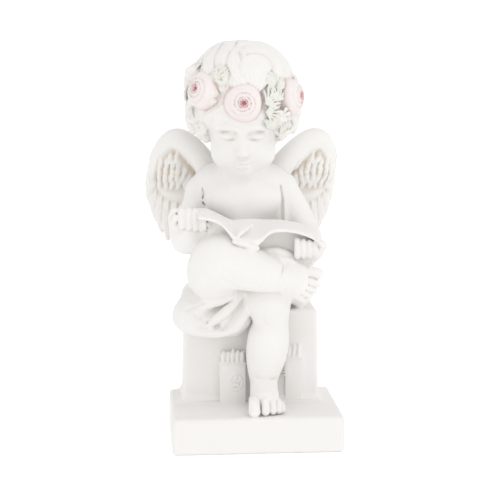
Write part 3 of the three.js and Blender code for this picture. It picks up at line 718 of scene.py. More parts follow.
def model_face(kit):
    """A calm child's face with lowered lids, on even proportions."""
    head = head_frame()
    turn = head.matrix

    def put(*rounds):
        add_rounds(kit, [(head.at(*at), radii, soft) for at, radii, soft in rounds], turn)

    def groove(line, soft):
        kit.cut(limb(trace(kit, head, line), step=1.5), soft)

    put(((0, 0, 0), (33, 33.5, 35), 0), ((0, -7, -11), (28, 27.5, 24), 4),
        ((0.5, -9, -29), (23.0, 22, 22), 5), ((0, -20.5, -46.5), (10, 8.5, 8), 6))
    for side in (-1, 1):
        put(((side * 12.2 + 0.6, -19, -36.5), (10.6, 10.5, 11), 6),
            ((side * 10.5, -28, -14.0), (9.5, 6, 3.4), 6))
    put(((0, -29.5, -21), (2.9, 4.8, 10), 5), ((0, -32.9, -32.2), (3.5, 4.0, 3.5), 3.0))
    for side in (-1, 1):
        put(((side * 3.2, -31.4, -33.2), (2.2, 2.8, 2.3), 1.4))
        kit.cut(ellipsoid(head.at(side * 10.4, -32.6, -19.6), (6.4, 4.2, 3.4), turn), 4.0)
        put(((side * 10.4, -25.2, -20.9), (6.7, 6.1, 4.2), 0.9))
        groove([(side * x, z, r) for x, z, r in LID], 0.5)
        groove([(side * x, z, r) for x, z, r in BROW], 1.4)
    put(((0, -29.7, -40.0), (5.2, 2.4, 1.7), 2.2), ((0, -29.2, -43.2), (4.2, 2.4, 1.9), 2.2))
    groove(SMILE, 0.5)
    for side in (-1, 1):
        groove([(side * x, z, r) for x, z, r in NOSTRIL], 0.5)
    kit.cut(ellipsoid(head.at(0, -32.8, -37.6), (1.1, 0.9, 1.6), turn), 1.4)


# Locks over the crown: each a list of degrees round the head and degrees down from the crown.
CROWN_LOCKS = [
    [(110, 10), (170, 14), (-142, 30), (-128, 42), (-119, 52), (-117, 64)],
    [(118, 12), (160, 24), (-166, 37), (-152, 47), (-140, 54), (-136, 66)],
    [(125, 14), (157, 32), (177, 46), (-177, 57), (-166, 68)],
    [(135, 14), (150, 32), (157, 48), (160, 60), (168, 74)],
    [(-120, 10), (-114, 24), (-108, 36), (-103, 46), (-94, 56), (-90, 68)],
    [(-88, 32), (-74, 33), (-60, 37), (-56, 46), (-66, 56), (-78, 66)],
    [(-92, 14), (-84, 26), (-80, 38), (-76, 48), (-80, 60)],
    [(-96, 16), (-58, 20), (-34, 30), (-30, 44), (-40, 56), (-52, 68)],
    [(-60, 8), (-10, 20), (-4, 34), (-8, 48), (-16, 60), (-26, 72)],
    [(50, 12), (26, 26), (14, 42), (6, 56), (-2, 70)],
    [(85, 14), (50, 34), (40, 50), (30, 64), (26, 80)],
    [(96, 14), (72, 36), (66, 54), (52, 68), (50, 82)],
    [(102, 14), (96, 38), (92, 54), (76, 68), (72, 82)],
    [(106, 14), (116, 38), (116, 54), (100, 68), (98, 82)],
    [(112, 14), (134, 38), (138, 54), (124, 70), (122, 82)],
]
# The deep line from the crown to the brow, and the lines of the whorl beside it.
CROWN_LINES = [
    [(120, 8), (-135, 13), (-122, 29), (-117, 41), (-108, 51), (-103, 62)],
    [(-100, 22), (-93, 34), (-95, 44), (-91, 53), (-83, 62)],
    [(-82, 29), (-63, 27), (-42, 34), (-42, 46), (-54, 57)],
    [(-90, 10), (-24, 16), (-12, 31), (-15, 48), (-28, 62)],
    [(160, 20), (-151, 33), (-138, 44), (-128, 51), (-126, 62)],
    [(153, 28), (-179, 41), (-164, 49), (-151, 56), (-150, 64)],
    [(70, 16), (33, 24), (20, 39), (9, 54), (0, 68)],
]


def lock(kit, head, path, radii, rise, strands, soft=1.0, flat=0.62):
    """One lock of hair laid over the head."""
    stations = [(*over_skull(head, a, d, rise), r) for (a, d), r in zip(path, radii)]
    middle = np.array(stations[len(stations) // 2][:3])
    kit.add(limb(stations, flat=flat, face=middle - head.origin, strands=strands, step=2.5), soft)


# The hair's base, in the head's frame: centres and radii.
HAIR_FORMS = [((0, 1.5, 1), (36.3, 37.6, 37.2)), ((0, 12, -14), (32, 26, 28)),
              ((-27, 3, -12), (11.5, 20, 15)), ((27, 3, -12), (11.5, 20, 15))]


def hair_surface(head, around, down):
    """Where a line out of the middle of the head leaves the hair's base."""
    a, b = math.radians(around), math.radians(down)
    ray = np.array([math.cos(a) * math.sin(b), math.sin(a) * math.sin(b), math.cos(b)])
    far = 0.0
    for at, radii in HAIR_FORMS:
        along, start = ray / radii, -np.array(at) / radii
        square, half, rest = along @ along, along @ start, start @ start - 1
        if half * half > square * rest:
            far = max(far, (math.sqrt(half * half - square * rest) - half) / square)
    return head.at(*(ray * far))


def curl(kit, head, around, down, size, hand):
    """A curl of hair wound in on itself, on the side of the head."""
    centre = hair_surface(head, around, down)
    out = centre - head.at(0, 2, -14)
    out /= np.linalg.norm(out)
    up = np.array([0, 0, 1.0])
    side = np.cross(up, out)
    side /= np.linalg.norm(side)
    up = np.cross(out, side)
    stations = []
    for t in np.linspace(0, 1, 8):
        a = math.pi * (0.6 + 1.75 * t) * hand
        reach = size * (0.86 - 0.68 * t)
        point = centre + reach * (math.cos(a) * side + math.sin(a) * hand * up)
        point = point + out * (0.2 * size * t - 0.7)
        stations.append((*point, size * (0.43 - 0.15 * t)))
    kit.add(limb(stations, face=out, strands=(2.2, 0.6, 0), step=2), 0.6)


# Rows of curls below the wreath: degrees down from the crown, size, and degrees round the head.
CURL_ROWS = ((103, 9.5, np.arange(-12, 200, 19.0)), (118, 9.2, np.arange(-22, 204, 19.0)),
             (132, 8.8, np.arange(-8, 196, 20.0)), (147, 8.2, np.arange(24, 160, 22.0)))
# Locks below the wreath at the brow and the temples, as CROWN_LOCKS.
FRINGE = [
    [(-112, 88), (-126, 98), (-138, 108), (-143, 120)],
    [(-104, 88), (-116, 99), (-124, 108), (-134, 112)],
    [(-112, 92), (-103, 101), (-92, 105), (-80, 103)],
    [(-96, 90), (-84, 99), (-72, 104), (-60, 102)],
    [(-80, 90), (-66, 98), (-54, 104), (-42, 106)],
    [(-60, 90), (-48, 98), (-38, 106), (-36, 116)],
    [(-146, 92), (-154, 102), (-152, 114), (-144, 122)],
    [(-34, 92), (-26, 102), (-27, 114), (-34, 122)],
]
# Single curls at the temples: degrees round, degrees down, size and the hand they turn to.
TEMPLE_CURLS = ((-159, 104, 9, 1), (-152, 118, 8.5, -1), (-30, 106, 8.5, -1), (-28, 120, 8, 1),
                (-170, 128, 8, 1), (-14, 128, 8, -1))


def model_hair(kit):
    """Locks that sweep from the crown in long waves, and curls that show below the wreath."""
    head = head_frame()
    turn = head.matrix
    for i, (at, radii) in enumerate(HAIR_FORMS):
        kit.add(ellipsoid(head.at(*at), radii, turn), 4 if i else 1)
    kit.add(ellipsoid(head.at(0, 2, 4), (28, 29, 36.0), turn), 3)
    for i, path in enumerate(CROWN_LOCKS):
        radii = [4.0] + [8.5 - 0.5 * (i % 3)] * (len(path) - 2) + [5.5]
        lock(kit, head, path, radii, 0.905 + 0.014 * (i % 2), (2.6, 0.9, 0), 1.2)
    grooves = [[(*over_skull(head, a, d, 1.015), 0.9) for a, d in path] for path in CROWN_LINES]
    cut_lines(kit, grooves, 1.6, step=2)
    rng = np.random.default_rng(7)
    for r, (down, size, places) in enumerate(CURL_ROWS):
        for i, around in enumerate(places):
            curl(kit, head, around + rng.uniform(-3, 3), down + rng.uniform(-3, 3),
                 size * rng.uniform(0.9, 1.12), 1 if (i + r) % 2 else -1)
    for path in FRINGE:
        lock(kit, head, path, (3.5, 5.2, 4.6, 2.2), 0.915, (2.0, 0.7, 0), 0.8, 0.7)
    for around, down, size, hand in TEMPLE_CURLS:
        curl(kit, head, around, down, size, hand)


# ------------------------------------------------------------------ wreath
def wreath_frame(around, below=0.0, out=1.0):
    """The frame of a flower on the wreath: x round the head, y up, z outward."""
    head = head_frame()
    a = math.radians(around)
    down = math.radians(WREATH["down"] + WREATH["tilt"] * math.cos(a) + below)
    w = WREATH["out"] * out
    level = math.sin(down)
    at = head.at(w * math.cos(a) * level, w * math.sin(a) * level, w * math.cos(down))
    facing = head.matrix @ np.array([math.cos(a), math.sin(a), 0.10 + math.cos(down)])
    facing /= np.linalg.norm(facing)
    side = np.cross(head.matrix @ np.array([0, 0, 1.0]), facing)
    side /= np.linalg.norm(side)
    return Frame(at, np.stack([side, np.cross(facing, side), facing], axis=1))


def rose_form(place, turned, radius):
    """A rose as one body: petals wound round its heart, wider apart towards the rim."""

    def distance(x, y, z):
        u, v, h = place.inside(x, y, z)
        out = np.sqrt(u * u + v * v)
        angle = np.arctan2(v, u) / (2 * math.pi) + turned
        rim = radius * (1 + 0.03 * np.cos(2 * math.pi * 3 * angle))
        wound = 2.9 * np.log1p(np.maximum(out, 0) / 1.9) + angle
        part = wound - np.floor(wound)
        petal = 1.5 * (1 - part) - 1.3 * np.exp(-(((part - 0.95) / 0.06) ** 2))
        petal = petal * (0.55 + 0.6 * np.exp(-((out / 6) ** 2)))
        dome = 7.8 * np.sqrt(np.maximum(1 - (out / rim) ** 2.4, 0))
        dome = dome - 2.6 * np.exp(-((out / 1.8) ** 2))
        top = h - dome - petal * np.clip(1.2 - out / rim, 0, 1)
        side = out - rim
        return smooth_max(smooth_max(top * 0.75, side, 1.8), -h - 6, 1).astype(np.float32)

    reach = radius * 1.1 + 1
    return Form(distance, place.origin - reach, place.origin + reach)


def heart_form(place, radius):
    """The round middle of a rose, where the wash is deeper."""

    def distance(x, y, z):
        u, v, h = place.inside(x, y, z)
        return (np.sqrt(u * u + v * v) - radius + 0 * h).astype(np.float32)

    reach = ROSE_RADIUS
    return Form(distance, place.origin - reach, place.origin + reach)


def leaf(kit, place, lean, length, width, tint="leaf", lift=1.5):
    """A toothed, pointed leaf from a place on the wreath, leaning by degrees from straight up."""
    a = math.radians(lean)
    ahead = np.array([math.sin(a), math.cos(a)])
    across = np.array([math.cos(a), -math.sin(a)])

    def on(t, s, rise=0.0):
        x, y = ahead * length * t + across * s
        return place.at(x, y, lift + 1.6 * math.sin(math.pi * t) - (x * x + y * y) / 95 + rise)

    widths = ((0.0, 0.3), (0.25, 0.8), (0.5, 1.0), (0.75, 0.75), (1.0, 0.1))
    stations = [(*on(t, 0), width / 2 * w) for t, w in widths]
    out = place.matrix[:, 2]
    kit.add(limb(stations, flat=0.36, face=out, step=1.5, strands=(2.4, 0.35, 0.8)), 0.4, tint)
    vein = [(*on(t, 0, 0.36 * width / 2 * w + 0.15), 0.4) for t, w in widths[:-1]]
    kit.cut(limb([(*p[:3], 0.5) for p in vein], step=2), 0.4)
    for t in (0.25, 0.45, 0.65):
        for hand in (-1, 1):
            tooth = [(*on(t, hand * width * 0.25), 0.9), (*on(t + 0.14, hand * width * 0.52), 0.5)]
            kit.add(limb(tooth, step=2), 0.5, tint)
            notch = [(*on(t - 0.05, 0, 0.36 * width / 2 + 0.2), 0.3),
                     (*on(t + 0.12, hand * width * 0.42, 0.7), 0.4)]
            kit.cut(limb(notch, step=3), 0.4)


# Leaves at the front: degrees round the head, degrees below the wreath's line, lean, length, width.
FRONT_LEAVES = [
    (-112, -16, -28, 15, 12), (-116, -4, -75, 11, 7), (-118, 3, -100, 10, 6),
    (-122, -14, -60, 11, 6), (-58, -15, 16, 14, 7.5), (-48, -12, 38, 12, 6), (-66, 17, 128, 13, 7),
    (-60, 15, 88, 12, 6.5), (-42, 24, 160, 10, 6), (-34, 20, 176, 11, 7), (-24, 22, 190, 10, 6.5),
    (-172, -14, 10, 12, 8), (-168, -16, -40, 11, 7), (-132, 18, 200, 10, 6),
    (-158, 20, 160, 10, 6),
]
# Fans of fine blades at the front: degrees round, degrees below, the middle blade's lean, length.
FRONT_FANS = [(-66, 0, 55, 14.5), (-66, 8, 95, 13), (-54, -2, 20, 11), (-50, 15, 140, 10)]


def fan(kit, place, lean, length):
    """A spray of fine blades that spread from one stalk."""
    out = place.matrix[:, 2]
    for k in range(-3, 4):
        a = math.radians(lean + 19 * k)
        reach = length * (1 - 0.035 * k * k)
        stations = [(*place.at(reach * t * math.sin(a), reach * t * math.cos(a),
                               2.0 + 2.0 * math.sin(math.pi * t) - (reach * t) ** 2 / 95), r)
                    for t, r in ((0.05, 0.6), (0.4, 0.75), (0.8, 0.95), (1.0, 0.45))]
        kit.add(limb(stations, face=out, step=1.5), 0.15, "leaf")


def model_wreath(kit):
    """Six roses round the head, with toothed leaves and a small open flower between them."""
    for around, below, lean, length, width in FRONT_LEAVES:
        leaf(kit, wreath_frame(around, below), lean, length, width)
    for around, below, lean, length in FRONT_FANS:
        fan(kit, wreath_frame(around, below), lean, length)
    for around in (8, 66, 121, 171):
        for below, lean, length in ((-6, -30, 13), (-2, 35, 13), (6, 150, 12), (4, -140, 12)):
            leaf(kit, wreath_frame(around, below), lean, length, 7.5)
    bud = wreath_frame(-171, -13, 1.04)
    kit.add(ellipsoid(bud.origin, (5.5, 5.5, 7), bud.matrix), 0.8)
    kit.cut(limb(bud.stations([(-3, 5, 4, 0.5), (0, 0, 7, 0.6), (2, -5, 4, 0.5)])), 0.8)
    flower = wreath_frame(-45, 12, 1.05)
    for k in range(5):
        a = 2 * math.pi * k / 5
        kit.add(limb([(*flower.at(1.6 * math.cos(a), 1.6 * math.sin(a), 1.6), 1.0),
                      (*flower.at(3.9 * math.cos(a), 3.9 * math.sin(a), 2.4), 1.9)], flat=0.6,
                     face=flower.matrix[:, 2]), 0.4)
    kit.add(ellipsoid(flower.at(0, 0, 2.4), (1.3, 1.3, 1.3)), 0.3)
    for i, (around, below) in enumerate(ROSES):
        place = wreath_frame(around, below)
        kit.add(rose_form(place, 0.17 * i, ROSE_RADIUS), 0.6, "rose")
        kit.dab("heart", heart_form(place, 4.0))


# ------------------------------------------------------------------ wings
# Primaries: how far out the tip is, its height, and how far out the root is. The outer ones reach
# furthest out, the middle ones furthest down.
PRIMARIES = [(30, 153, 27), (36, 146, 33), (42.5, 141.5, 40), (49, 139.5, 46.5), (54.5, 143, 52.5),
             (59, 149, 58), (62.5, 157, 62.5), (64.8, 167, 65.5)]
# Coverts, from the lowest row up: the height of their roots, how far out the row starts and ends,
# and how many it has.
COVERT_ROWS = ((188.5, 32.5, 65, 8), (193.5, 33, 64, 8), (198.5, 34, 62, 7), (203.5, 36.5, 59.5, 6),
               (207.5, 40.5, 55, 4))


def model_wings(kit):
    """Both wings, the one the mirror of the other but for their lean and their coverts."""
    for side in (-1, 1):
        model_wing(kit, side)


def model_wing(kit, side):
    """One wing: its rounded arm, downy coverts over a ledge, and a fan of long primaries."""

    def on(out, y, z, r):
        lean = WING_LEAN * min(max((z - 192) / 28, -0.4), 1)
        return (WING_MIDDLE + lean + side * out, y, z, r)

    back = (0.15 * side, 1, 0)
    kit.add(ellipsoid(on(46, 43.5, 190, 0)[:3], (21, 6.4, 25), turn_matrix(y=side * 16)), 3)
    kit.add(ellipsoid(on(48, 39.5, 199, 0)[:3], (17, 5.0, 14), turn_matrix(y=side * 14)), 3)
    for i, (low_out, low, high_out) in enumerate(PRIMARIES):
        depth = 40.5 + 4.5 * i / (len(PRIMARIES) - 1)
        root = (high_out, depth + 0.6, 192)
        end = (low_out, depth + 1.2, low)
        mid = ((root[0] * 0.55 + end[0] * 0.45) + 1.2, depth - 0.4, (root[2] + end[2]) / 2)
        late = ((mid[0] + end[0]) / 2 + 0.5, depth, (mid[2] + end[2]) / 2)
        stations = [on(*p, r) for p, r in ((root, 4.4), (mid, 4.7), (late, 4.2), (end, 2.0))]
        kit.add(limb(stations, flat=0.5, face=back, strands=(1.9, 0.55, 0.75)), 0.5)
        shaft = [on(p[0], p[1] - 2.2, p[2], 0.55) for p in (root, mid)]
        shaft.append(on(end[0], end[1] - 0.9, end[2], 0.4))
        kit.add(limb(shaft), 0.5)
    kit.add(limb([on(*s) for s in WING_ARM], flat=0.9), 2.5)
    for row, (high, low) in enumerate(((205, 186), (192, 166))):
        for i in range(6 - row):
            t = (i + 0.5 * row) / 5
            feather = [on(35 + 24 * t, 46.5 - row, high, 4.2),
                       on(34.5 + 27 * t, 47.5 - row, (high + low) / 2, 4.4),
                       on(33 + 28 * t, 47.3 - row, low, 2.4)]
            kit.add(limb(feather, flat=0.6, face=back, strands=(1.9, 0.55, 0.75)), 1.0)
    for k in range(4):
        z = 206 - 6.5 * k
        scale = [on(66.8 + 0.6 * k, 43 + 0.5 * k, z + 3, 2.6),
                 on(69.6 + 0.3 * k, 44 + 0.5 * k, z - 2.5, 1.5)]
        kit.add(limb(scale, flat=0.6, face=back), 1.0)
    rng = np.random.default_rng(11 + side)
    for row, (high, first, last, each) in enumerate(COVERT_ROWS):
        for i in range(each + row % 2):
            out = first + (last - first) * (i - 0.5 * (row % 2)) / (each - 1)
            bend, turned = rng.uniform(-0.6, 0.6), rng.uniform(-0.8, 1.4)
            line = [(on(out + o, 0, high + z, 0)[0], high + z, r)
                    for o, z, r in ((0, 1.5, 1.9), (bend, -2.8, 2.6), (turned, -7.0, 1.4))]
            met = trace(kit, WORLD, line, start=30.0, end=43.0)
            if len(met) < len(line) or np.ptp([p[1] for p in met]) > 4:
                continue
            stations = [(p[0], p[1] + d, *p[2:]) for p, d in zip(met, (0.8, 0.1, -0.4))]
            kit.add(limb(stations, flat=0.5, face=back, step=2, strands=(1.7, 0.45, 0.5)), 0.25)
    # Mark the wing for an even painted shade over its small feathers.
    kit.dab("wash", ellipsoid(on(48, 36, 195, 0)[:3], (19, 11, 19), turn_matrix(y=side * 14)))


# ------------------------------------------------------------------ casting
def cast_mesh(kit, most):
    """The clay as one mesh object, thinned to at most so many triangles, with any crumbs dropped.
    """
    vertices, faces = mesh_of(kit)
    mesh = bpy.data.meshes.new("cherub_statue_cast")
    mesh.vertices.add(len(vertices))
    mesh.vertices.foreach_set("co", (vertices * UNIT).astype(np.float32).ravel())
    mesh.loops.add(faces.size)
    mesh.loops.foreach_set("vertex_index", faces.astype(np.int32).ravel())
    mesh.polygons.add(len(faces))
    mesh.polygons.foreach_set("loop_start", np.arange(0, faces.size, 4, dtype=np.int32))
    mesh.update(calc_edges=True)
    piece = bpy.data.objects.new("cherub_statue_cast", mesh)
    bpy.context.scene.collection.objects.link(piece)
    triangles = 2 * len(faces)
    if triangles > most:
        thin = piece.modifiers.new("thin", "DECIMATE")
        thin.ratio = most / triangles
        graph = bpy.context.evaluated_depsgraph_get()
        done = bpy.data.meshes.new_from_object(piece.evaluated_get(graph))
        piece.modifiers.clear()
        piece.data = done
        bpy.data.meshes.remove(mesh)
        done.name = "cherub_statue_cast"
    keep_largest(piece)
    return piece


def keep_largest(piece):
    """Drop any crumb that is not joined to the casting."""
    mesh = piece.data
    edges = np.empty(len(mesh.edges) * 2, np.int32)
    mesh.edges.foreach_get("vertices", edges)
    edges = edges.reshape(-1, 2)
    label = np.arange(len(mesh.vertices))
    while True:
        low = np.minimum(label[edges[:, 0]], label[edges[:, 1]])
        fresh = label.copy()
        np.minimum.at(fresh, edges[:, 0], low)
        np.minimum.at(fresh, edges[:, 1], low)
        fresh = fresh[fresh]
        if (fresh == label).all():
            break
        label = fresh
    values, counts = np.unique(label, return_counts=True)
    if len(values) == 1:
        return
    main = values[counts.argmax()]
    work = bmesh.new()
    work.from_mesh(mesh)
    work.verts.ensure_lookup_table()
    stray = [work.verts[i] for i in np.nonzero(label != main)[0]]
    print("crumbs:", len(values) - 1, "with", len(stray), "points")
    bmesh.ops.delete(work, geom=stray, context="VERTS")
    work.to_mesh(mesh)
    work.free()


# Millimetres: how far from the surface the stone counts for a hollow, which gets painted shade, and
# the spreads over which it is averaged, finer and broader, each with its gain.
HOLLOW_LIMIT = 6.0
HOLLOW_SPREADS = ((1.0, 0.9), (2.2, 0.35))
WING_SHADE = 0.12  # the even share of painted shade over the small feathers


def paint(kit, piece):
    """Store the paint, and the painted shade of the hollows, as colour on the points, for the
    material to read.
    """
    mesh = piece.data
    points = np.empty(len(mesh.vertices) * 3, np.float32)
    mesh.vertices.foreach_get("co", points)
    points = points.reshape(-1, 3) / UNIT
    colour = np.zeros((len(points), 4), np.float32)
    for channel, name in enumerate(("rose", "leaf", "heart")):
        if name in kit.tints:
            colour[:, channel] = kit.sample(kit.tints[name], points)
    blurred = kit.field.clip(-HOLLOW_LIMIT, HOLLOW_LIMIT)
    for spread, gain in HOLLOW_SPREADS:
        for _ in range(2):
            for axis in range(3):
                blurred = box_blur(blurred, max(1, int(round(spread / kit.cell))), axis)
        hollow = np.clip(0.5 - kit.sample(blurred, points) * gain, 0, 1)
        colour[:, 3] = np.maximum(colour[:, 3], hollow)
    behind, high = points[:, 1], points[:, 2]
    # The painted shade of the hollows is weaker towards the front and strongest on the wings, and
    # the backs of the block and the slab have none.
    colour[:, 3] *= np.clip((behind - 10) / 20, 0.72, 1)
    colour[:, 3] += WING_SHADE * kit.sample(kit.tints["wash"], points)
    colour[:, 3] *= np.where(behind > 10, np.clip((high - SEAT - 1) / 3, 0, 1), 1)
    layer = mesh.color_attributes.new("paint", "FLOAT_COLOR", "POINT")
    layer.data.foreach_set("color", colour.ravel())


def box_blur(values, size, axis):
    """A running mean over 2 * size + 1 cells along one axis."""
    padded = np.concatenate([np.repeat(values.take([0], axis), size + 1, axis), values,
                             np.repeat(values.take([-1], axis), size, axis)], axis)
    total = np.cumsum(padded, axis, dtype=np.float32)
    count = values.shape[axis]
    width = 2 * size + 1
    upper = [slice(None)] * 3
    lower = [slice(None)] * 3
    upper[axis] = slice(width, width + count)
    lower[axis] = slice(0, count)
    return (total[tuple(upper)] - total[tuple(lower)]) / width


# ------------------------------------------------------------------ materials
def linear(text):
    """An sRGB hex colour as linear red, green, blue and alpha."""
    values = [int(text[i:i + 2], 16) / 255 for i in (1, 3, 5)]
    return [v / 12.92 if v <= 0.04045 else ((v + 0.055) / 1.055) ** 2.4 for v in values] + [1.0]


def node(tree, kind, inputs=None, **settings):
    """Add a node with its settings; an input is a value, or a socket to link from."""
    made = tree.nodes.new(kind)
    for name, value in settings.items():
        setattr(made, name, value)
    for name, value in (inputs or {}).items():
        socket = made.inputs[name]
        if isinstance(value, bpy.types.NodeSocket):
            tree.links.new(value, socket)
        else:
            socket.default_value = value
    return made


# Metres: the width of the stone's clouds, of a brush mark, of the stone's grain, drawn coarser than
# real dust so that it shows, and the spacing of its pores.
CLOUD, BRUSH, GRAIN, PORE = 0.030, 0.006, 0.0012, 0.004


def cast_stone(settings):
    """
    White cast stone: marble dust and binder poured in a mould and left matt, with thin washes
    of paint on the flowers and leaves. The dust gives the eye a soft, even white and a fine grain.
    The hollows and the wings take a warm painted shade, the paint turns darker in the creases as
    painted shade, and it is lighter on the high edges of the petals and leaves as a painted
    highlight.
    """
    material = bpy.data.materials.new("white_cast_stone")
    material.use_nodes = True
    tree = material.node_tree
    tree.nodes.clear()
    place = node(tree, "ShaderNodeTexCoord").outputs["Object"]
    layer = node(tree, "ShaderNodeAttribute", attribute_name="paint")
    split = node(tree, "ShaderNodeSeparateColor", {"Color": layer.outputs["Color"]})
    cloud = node(tree, "ShaderNodeTexNoise", {"Vector": place, "Scale": 1 / CLOUD, "Detail": 3.0})
    wash = node(tree, "ShaderNodeTexNoise", {"Vector": place, "Scale": 1 / BRUSH, "Detail": 3.0})
    tone = node(tree, "ShaderNodeMix", {
        "Factor": cloud.outputs["Fac"],
        6: linear(settings.stone),
        7: linear(settings.stone_shade),
    }, data_type="RGBA")
    # Painted shade: the hollows and the wings are darkened and warmed by multiplying in a light
    # brown.
    hollow = node(tree, "ShaderNodeMapRange", {
        "Value": layer.outputs["Alpha"], "From Min": 0.52, "From Max": 0.9,
        "To Max": settings.painted_shade_strength,
    })
    tone = node(tree, "ShaderNodeMix", {
        "Factor": hollow.outputs["Result"], 6: tone.outputs[2], 7: linear(settings.hollow),
    }, data_type="RGBA", blend_type="MULTIPLY")
    # Painted highlight: the paint is thinner on the raised edges, so they show lighter.
    edge = node(tree, "ShaderNodeMapRange", {
        "Value": layer.outputs["Alpha"], "From Min": 0.28, "From Max": 0.44,
        "To Min": 0.4, "To Max": 1.0,
    })
    # Painted shade: in the creases each paint turns to its darker colour.
    crease_shade = node(tree, "ShaderNodeMapRange", {
        "Value": layer.outputs["Alpha"], "From Min": 0.38, "From Max": 0.66,
    })
    for channel, colour, deep, strength in (
        ("Red", settings.petal, settings.petal_shaded, 0.85),
        ("Green", settings.leaf, settings.leaf_shaded, 0.7),
        ("Blue", settings.heart, settings.heart_shaded, 0.85),
    ):
        uneven = node(tree, "ShaderNodeMapRange", {
            "Value": wash.outputs["Fac"], "From Min": 0.25, "From Max": 0.75,
            "To Min": strength - 0.35, "To Max": strength + 0.15,
        })
        thin = node(tree, "ShaderNodeMath", {
            0: edge.outputs["Result"], 1: uneven.outputs["Result"],
        }, operation="MULTIPLY")
        share = node(tree, "ShaderNodeMath", {
            0: split.outputs[channel], 1: thin.outputs["Value"],
        }, operation="MULTIPLY", use_clamp=True)
        paint_tone = node(tree, "ShaderNodeMix", {
            "Factor": crease_shade.outputs["Result"], 6: linear(colour), 7: linear(deep),
        }, data_type="RGBA")
        tone = node(tree, "ShaderNodeMix", {
            "Factor": share.outputs["Value"], 6: tone.outputs[2], 7: paint_tone.outputs[2],
        }, data_type="RGBA")
    grain = node(tree, "ShaderNodeTexNoise", {"Vector": place, "Scale": 1 / GRAIN, "Detail": 4.0})
    pores = node(tree, "ShaderNodeTexVoronoi", {"Vector": place, "Scale": 1 / PORE})
    pit = node(tree, "ShaderNodeMapRange", {
        "Value": pores.outputs["Distance"], "From Min": 0.0, "From Max": 0.16,
        "To Min": -0.6, "To Max": 0.0,
    })
    relief = node(tree, "ShaderNodeMath", {0: grain.outputs["Fac"], 1: pit.outputs["Result"]},
                  operation="ADD")
    bump = node(tree, "ShaderNodeBump", {
        "Height": relief.outputs["Value"], "Strength": 0.18, "Distance": 0.0003,
    })
    surface = node(tree, "ShaderNodeBsdfPrincipled", {
        "Base Color": tone.outputs[2], "Roughness": 0.72, "Specular IOR Level": 0.35,
        "Normal": bump.outputs["Normal"],
    })
    node(tree, "ShaderNodeOutputMaterial", {"Surface": surface.outputs["BSDF"]})
    return material


def studio_floor(colour):
    """Matt white paper, rolled out: it gives the eye a plain ground with a faint soft shadow."""
    material = bpy.data.materials.new("matt_white_paper")
    material.use_nodes = True
    tree = material.node_tree
    tree.nodes.clear()
    surface = node(tree, "ShaderNodeBsdfPrincipled", {
        "Base Color": linear(colour), "Roughness": 0.9, "Specular IOR Level": 0.1,
        "Emission Color": linear(colour), "Emission Strength": 0.2,
    })
    node(tree, "ShaderNodeOutputMaterial", {"Surface": surface.outputs["BSDF"]})
    return material


# ------------------------------------------------------------------ stage
# Metres: where the key light stands, what it is turned to, and its width.
KEY_AT, KEY_AIM, KEY_SIZE = (0.32, -0.7, 1.3), (0.0, 0.0, 0.15), 0.9
# Metres: the paper's flat radius, the radius of its bend, and the height it then rises to.
PAPER_FLAT, PAPER_BEND, PAPER_WALL = 1.7, 0.8, 1.5
PAPER_ROUND, PAPER_STEPS = 64, 10  # points round the paper, and over its bend


def key_light(power):
    """A round soft light above and before the statue, a little to its left."""
    lamp = bpy.data.lights.new("key", "AREA")
    lamp.shape = "DISK"
    lamp.size = KEY_SIZE
    lamp.energy = power
    holder = bpy.data.objects.new("key", lamp)
    bpy.context.scene.collection.objects.link(holder)
    holder.location = KEY_AT
    holder.rotation_euler = (Vector(KEY_AIM) - Vector(KEY_AT)).to_track_quat("-Z", "Y").to_euler()


def build_stage(settings):
    scene = bpy.context.scene
    camera = bpy.data.objects.new("camera", bpy.data.cameras.new("camera"))
    scene.collection.objects.link(camera)
    scene.camera = camera
    camera.data.sensor_width = 36
    camera.data.lens = settings.lens
    camera.location = settings.camera_at
    turn = Matrix.Rotation(-settings.camera_yaw, 4, "Z") @ Matrix.Rotation(
        math.radians(90) + settings.camera_pitch, 4, "X")
    camera.rotation_euler = turn.to_euler()
    camera.data.clip_end = 20

    mesh = bpy.data.meshes.new("paper_floor")
    profile = [(PAPER_FLAT + PAPER_BEND * math.sin(a), PAPER_BEND - PAPER_BEND * math.cos(a))
               for a in np.linspace(0, math.pi / 2, PAPER_STEPS)]
    profile.append((PAPER_FLAT + PAPER_BEND, PAPER_WALL))
    points = [(r * math.cos(a), r * math.sin(a), z) for r, z in profile
              for a in np.linspace(0, 2 * math.pi, PAPER_ROUND, endpoint=False)]
    faces = [tuple(range(PAPER_ROUND))]
    for ring in range(len(profile) - 1):
        for k in range(PAPER_ROUND):
            here, ahead = ring * PAPER_ROUND + k, ring * PAPER_ROUND + (k + 1) % PAPER_ROUND
            faces.append((here, here + PAPER_ROUND, ahead + PAPER_ROUND, ahead))
    mesh.from_pydata(points, [], faces)
    mesh.materials.append(studio_floor(settings.paper))
    for polygon in mesh.polygons:
        polygon.use_smooth = True
    floor = bpy.data.objects.new("paper_floor", mesh)
    scene.collection.objects.link(floor)

    world = bpy.data.worlds.new("studio")
    world.use_nodes = True
    world.node_tree.nodes["Background"].inputs["Color"].default_value = linear("#ffffff")
    world.node_tree.nodes["Background"].inputs["Strength"].default_value = settings.sky
    scene.world = world
    key_light(settings.key)
    scene.view_settings.view_transform = "Standard"
    scene.view_settings.exposure = settings.exposure


# ------------------------------------------------------------------ panel settings
def hex_colour(name, use, default):
    """A panel setting for one colour."""
    use = "sRGB hex colour " + use
    return bpy.props.StringProperty(name=name, description=use, default=default)


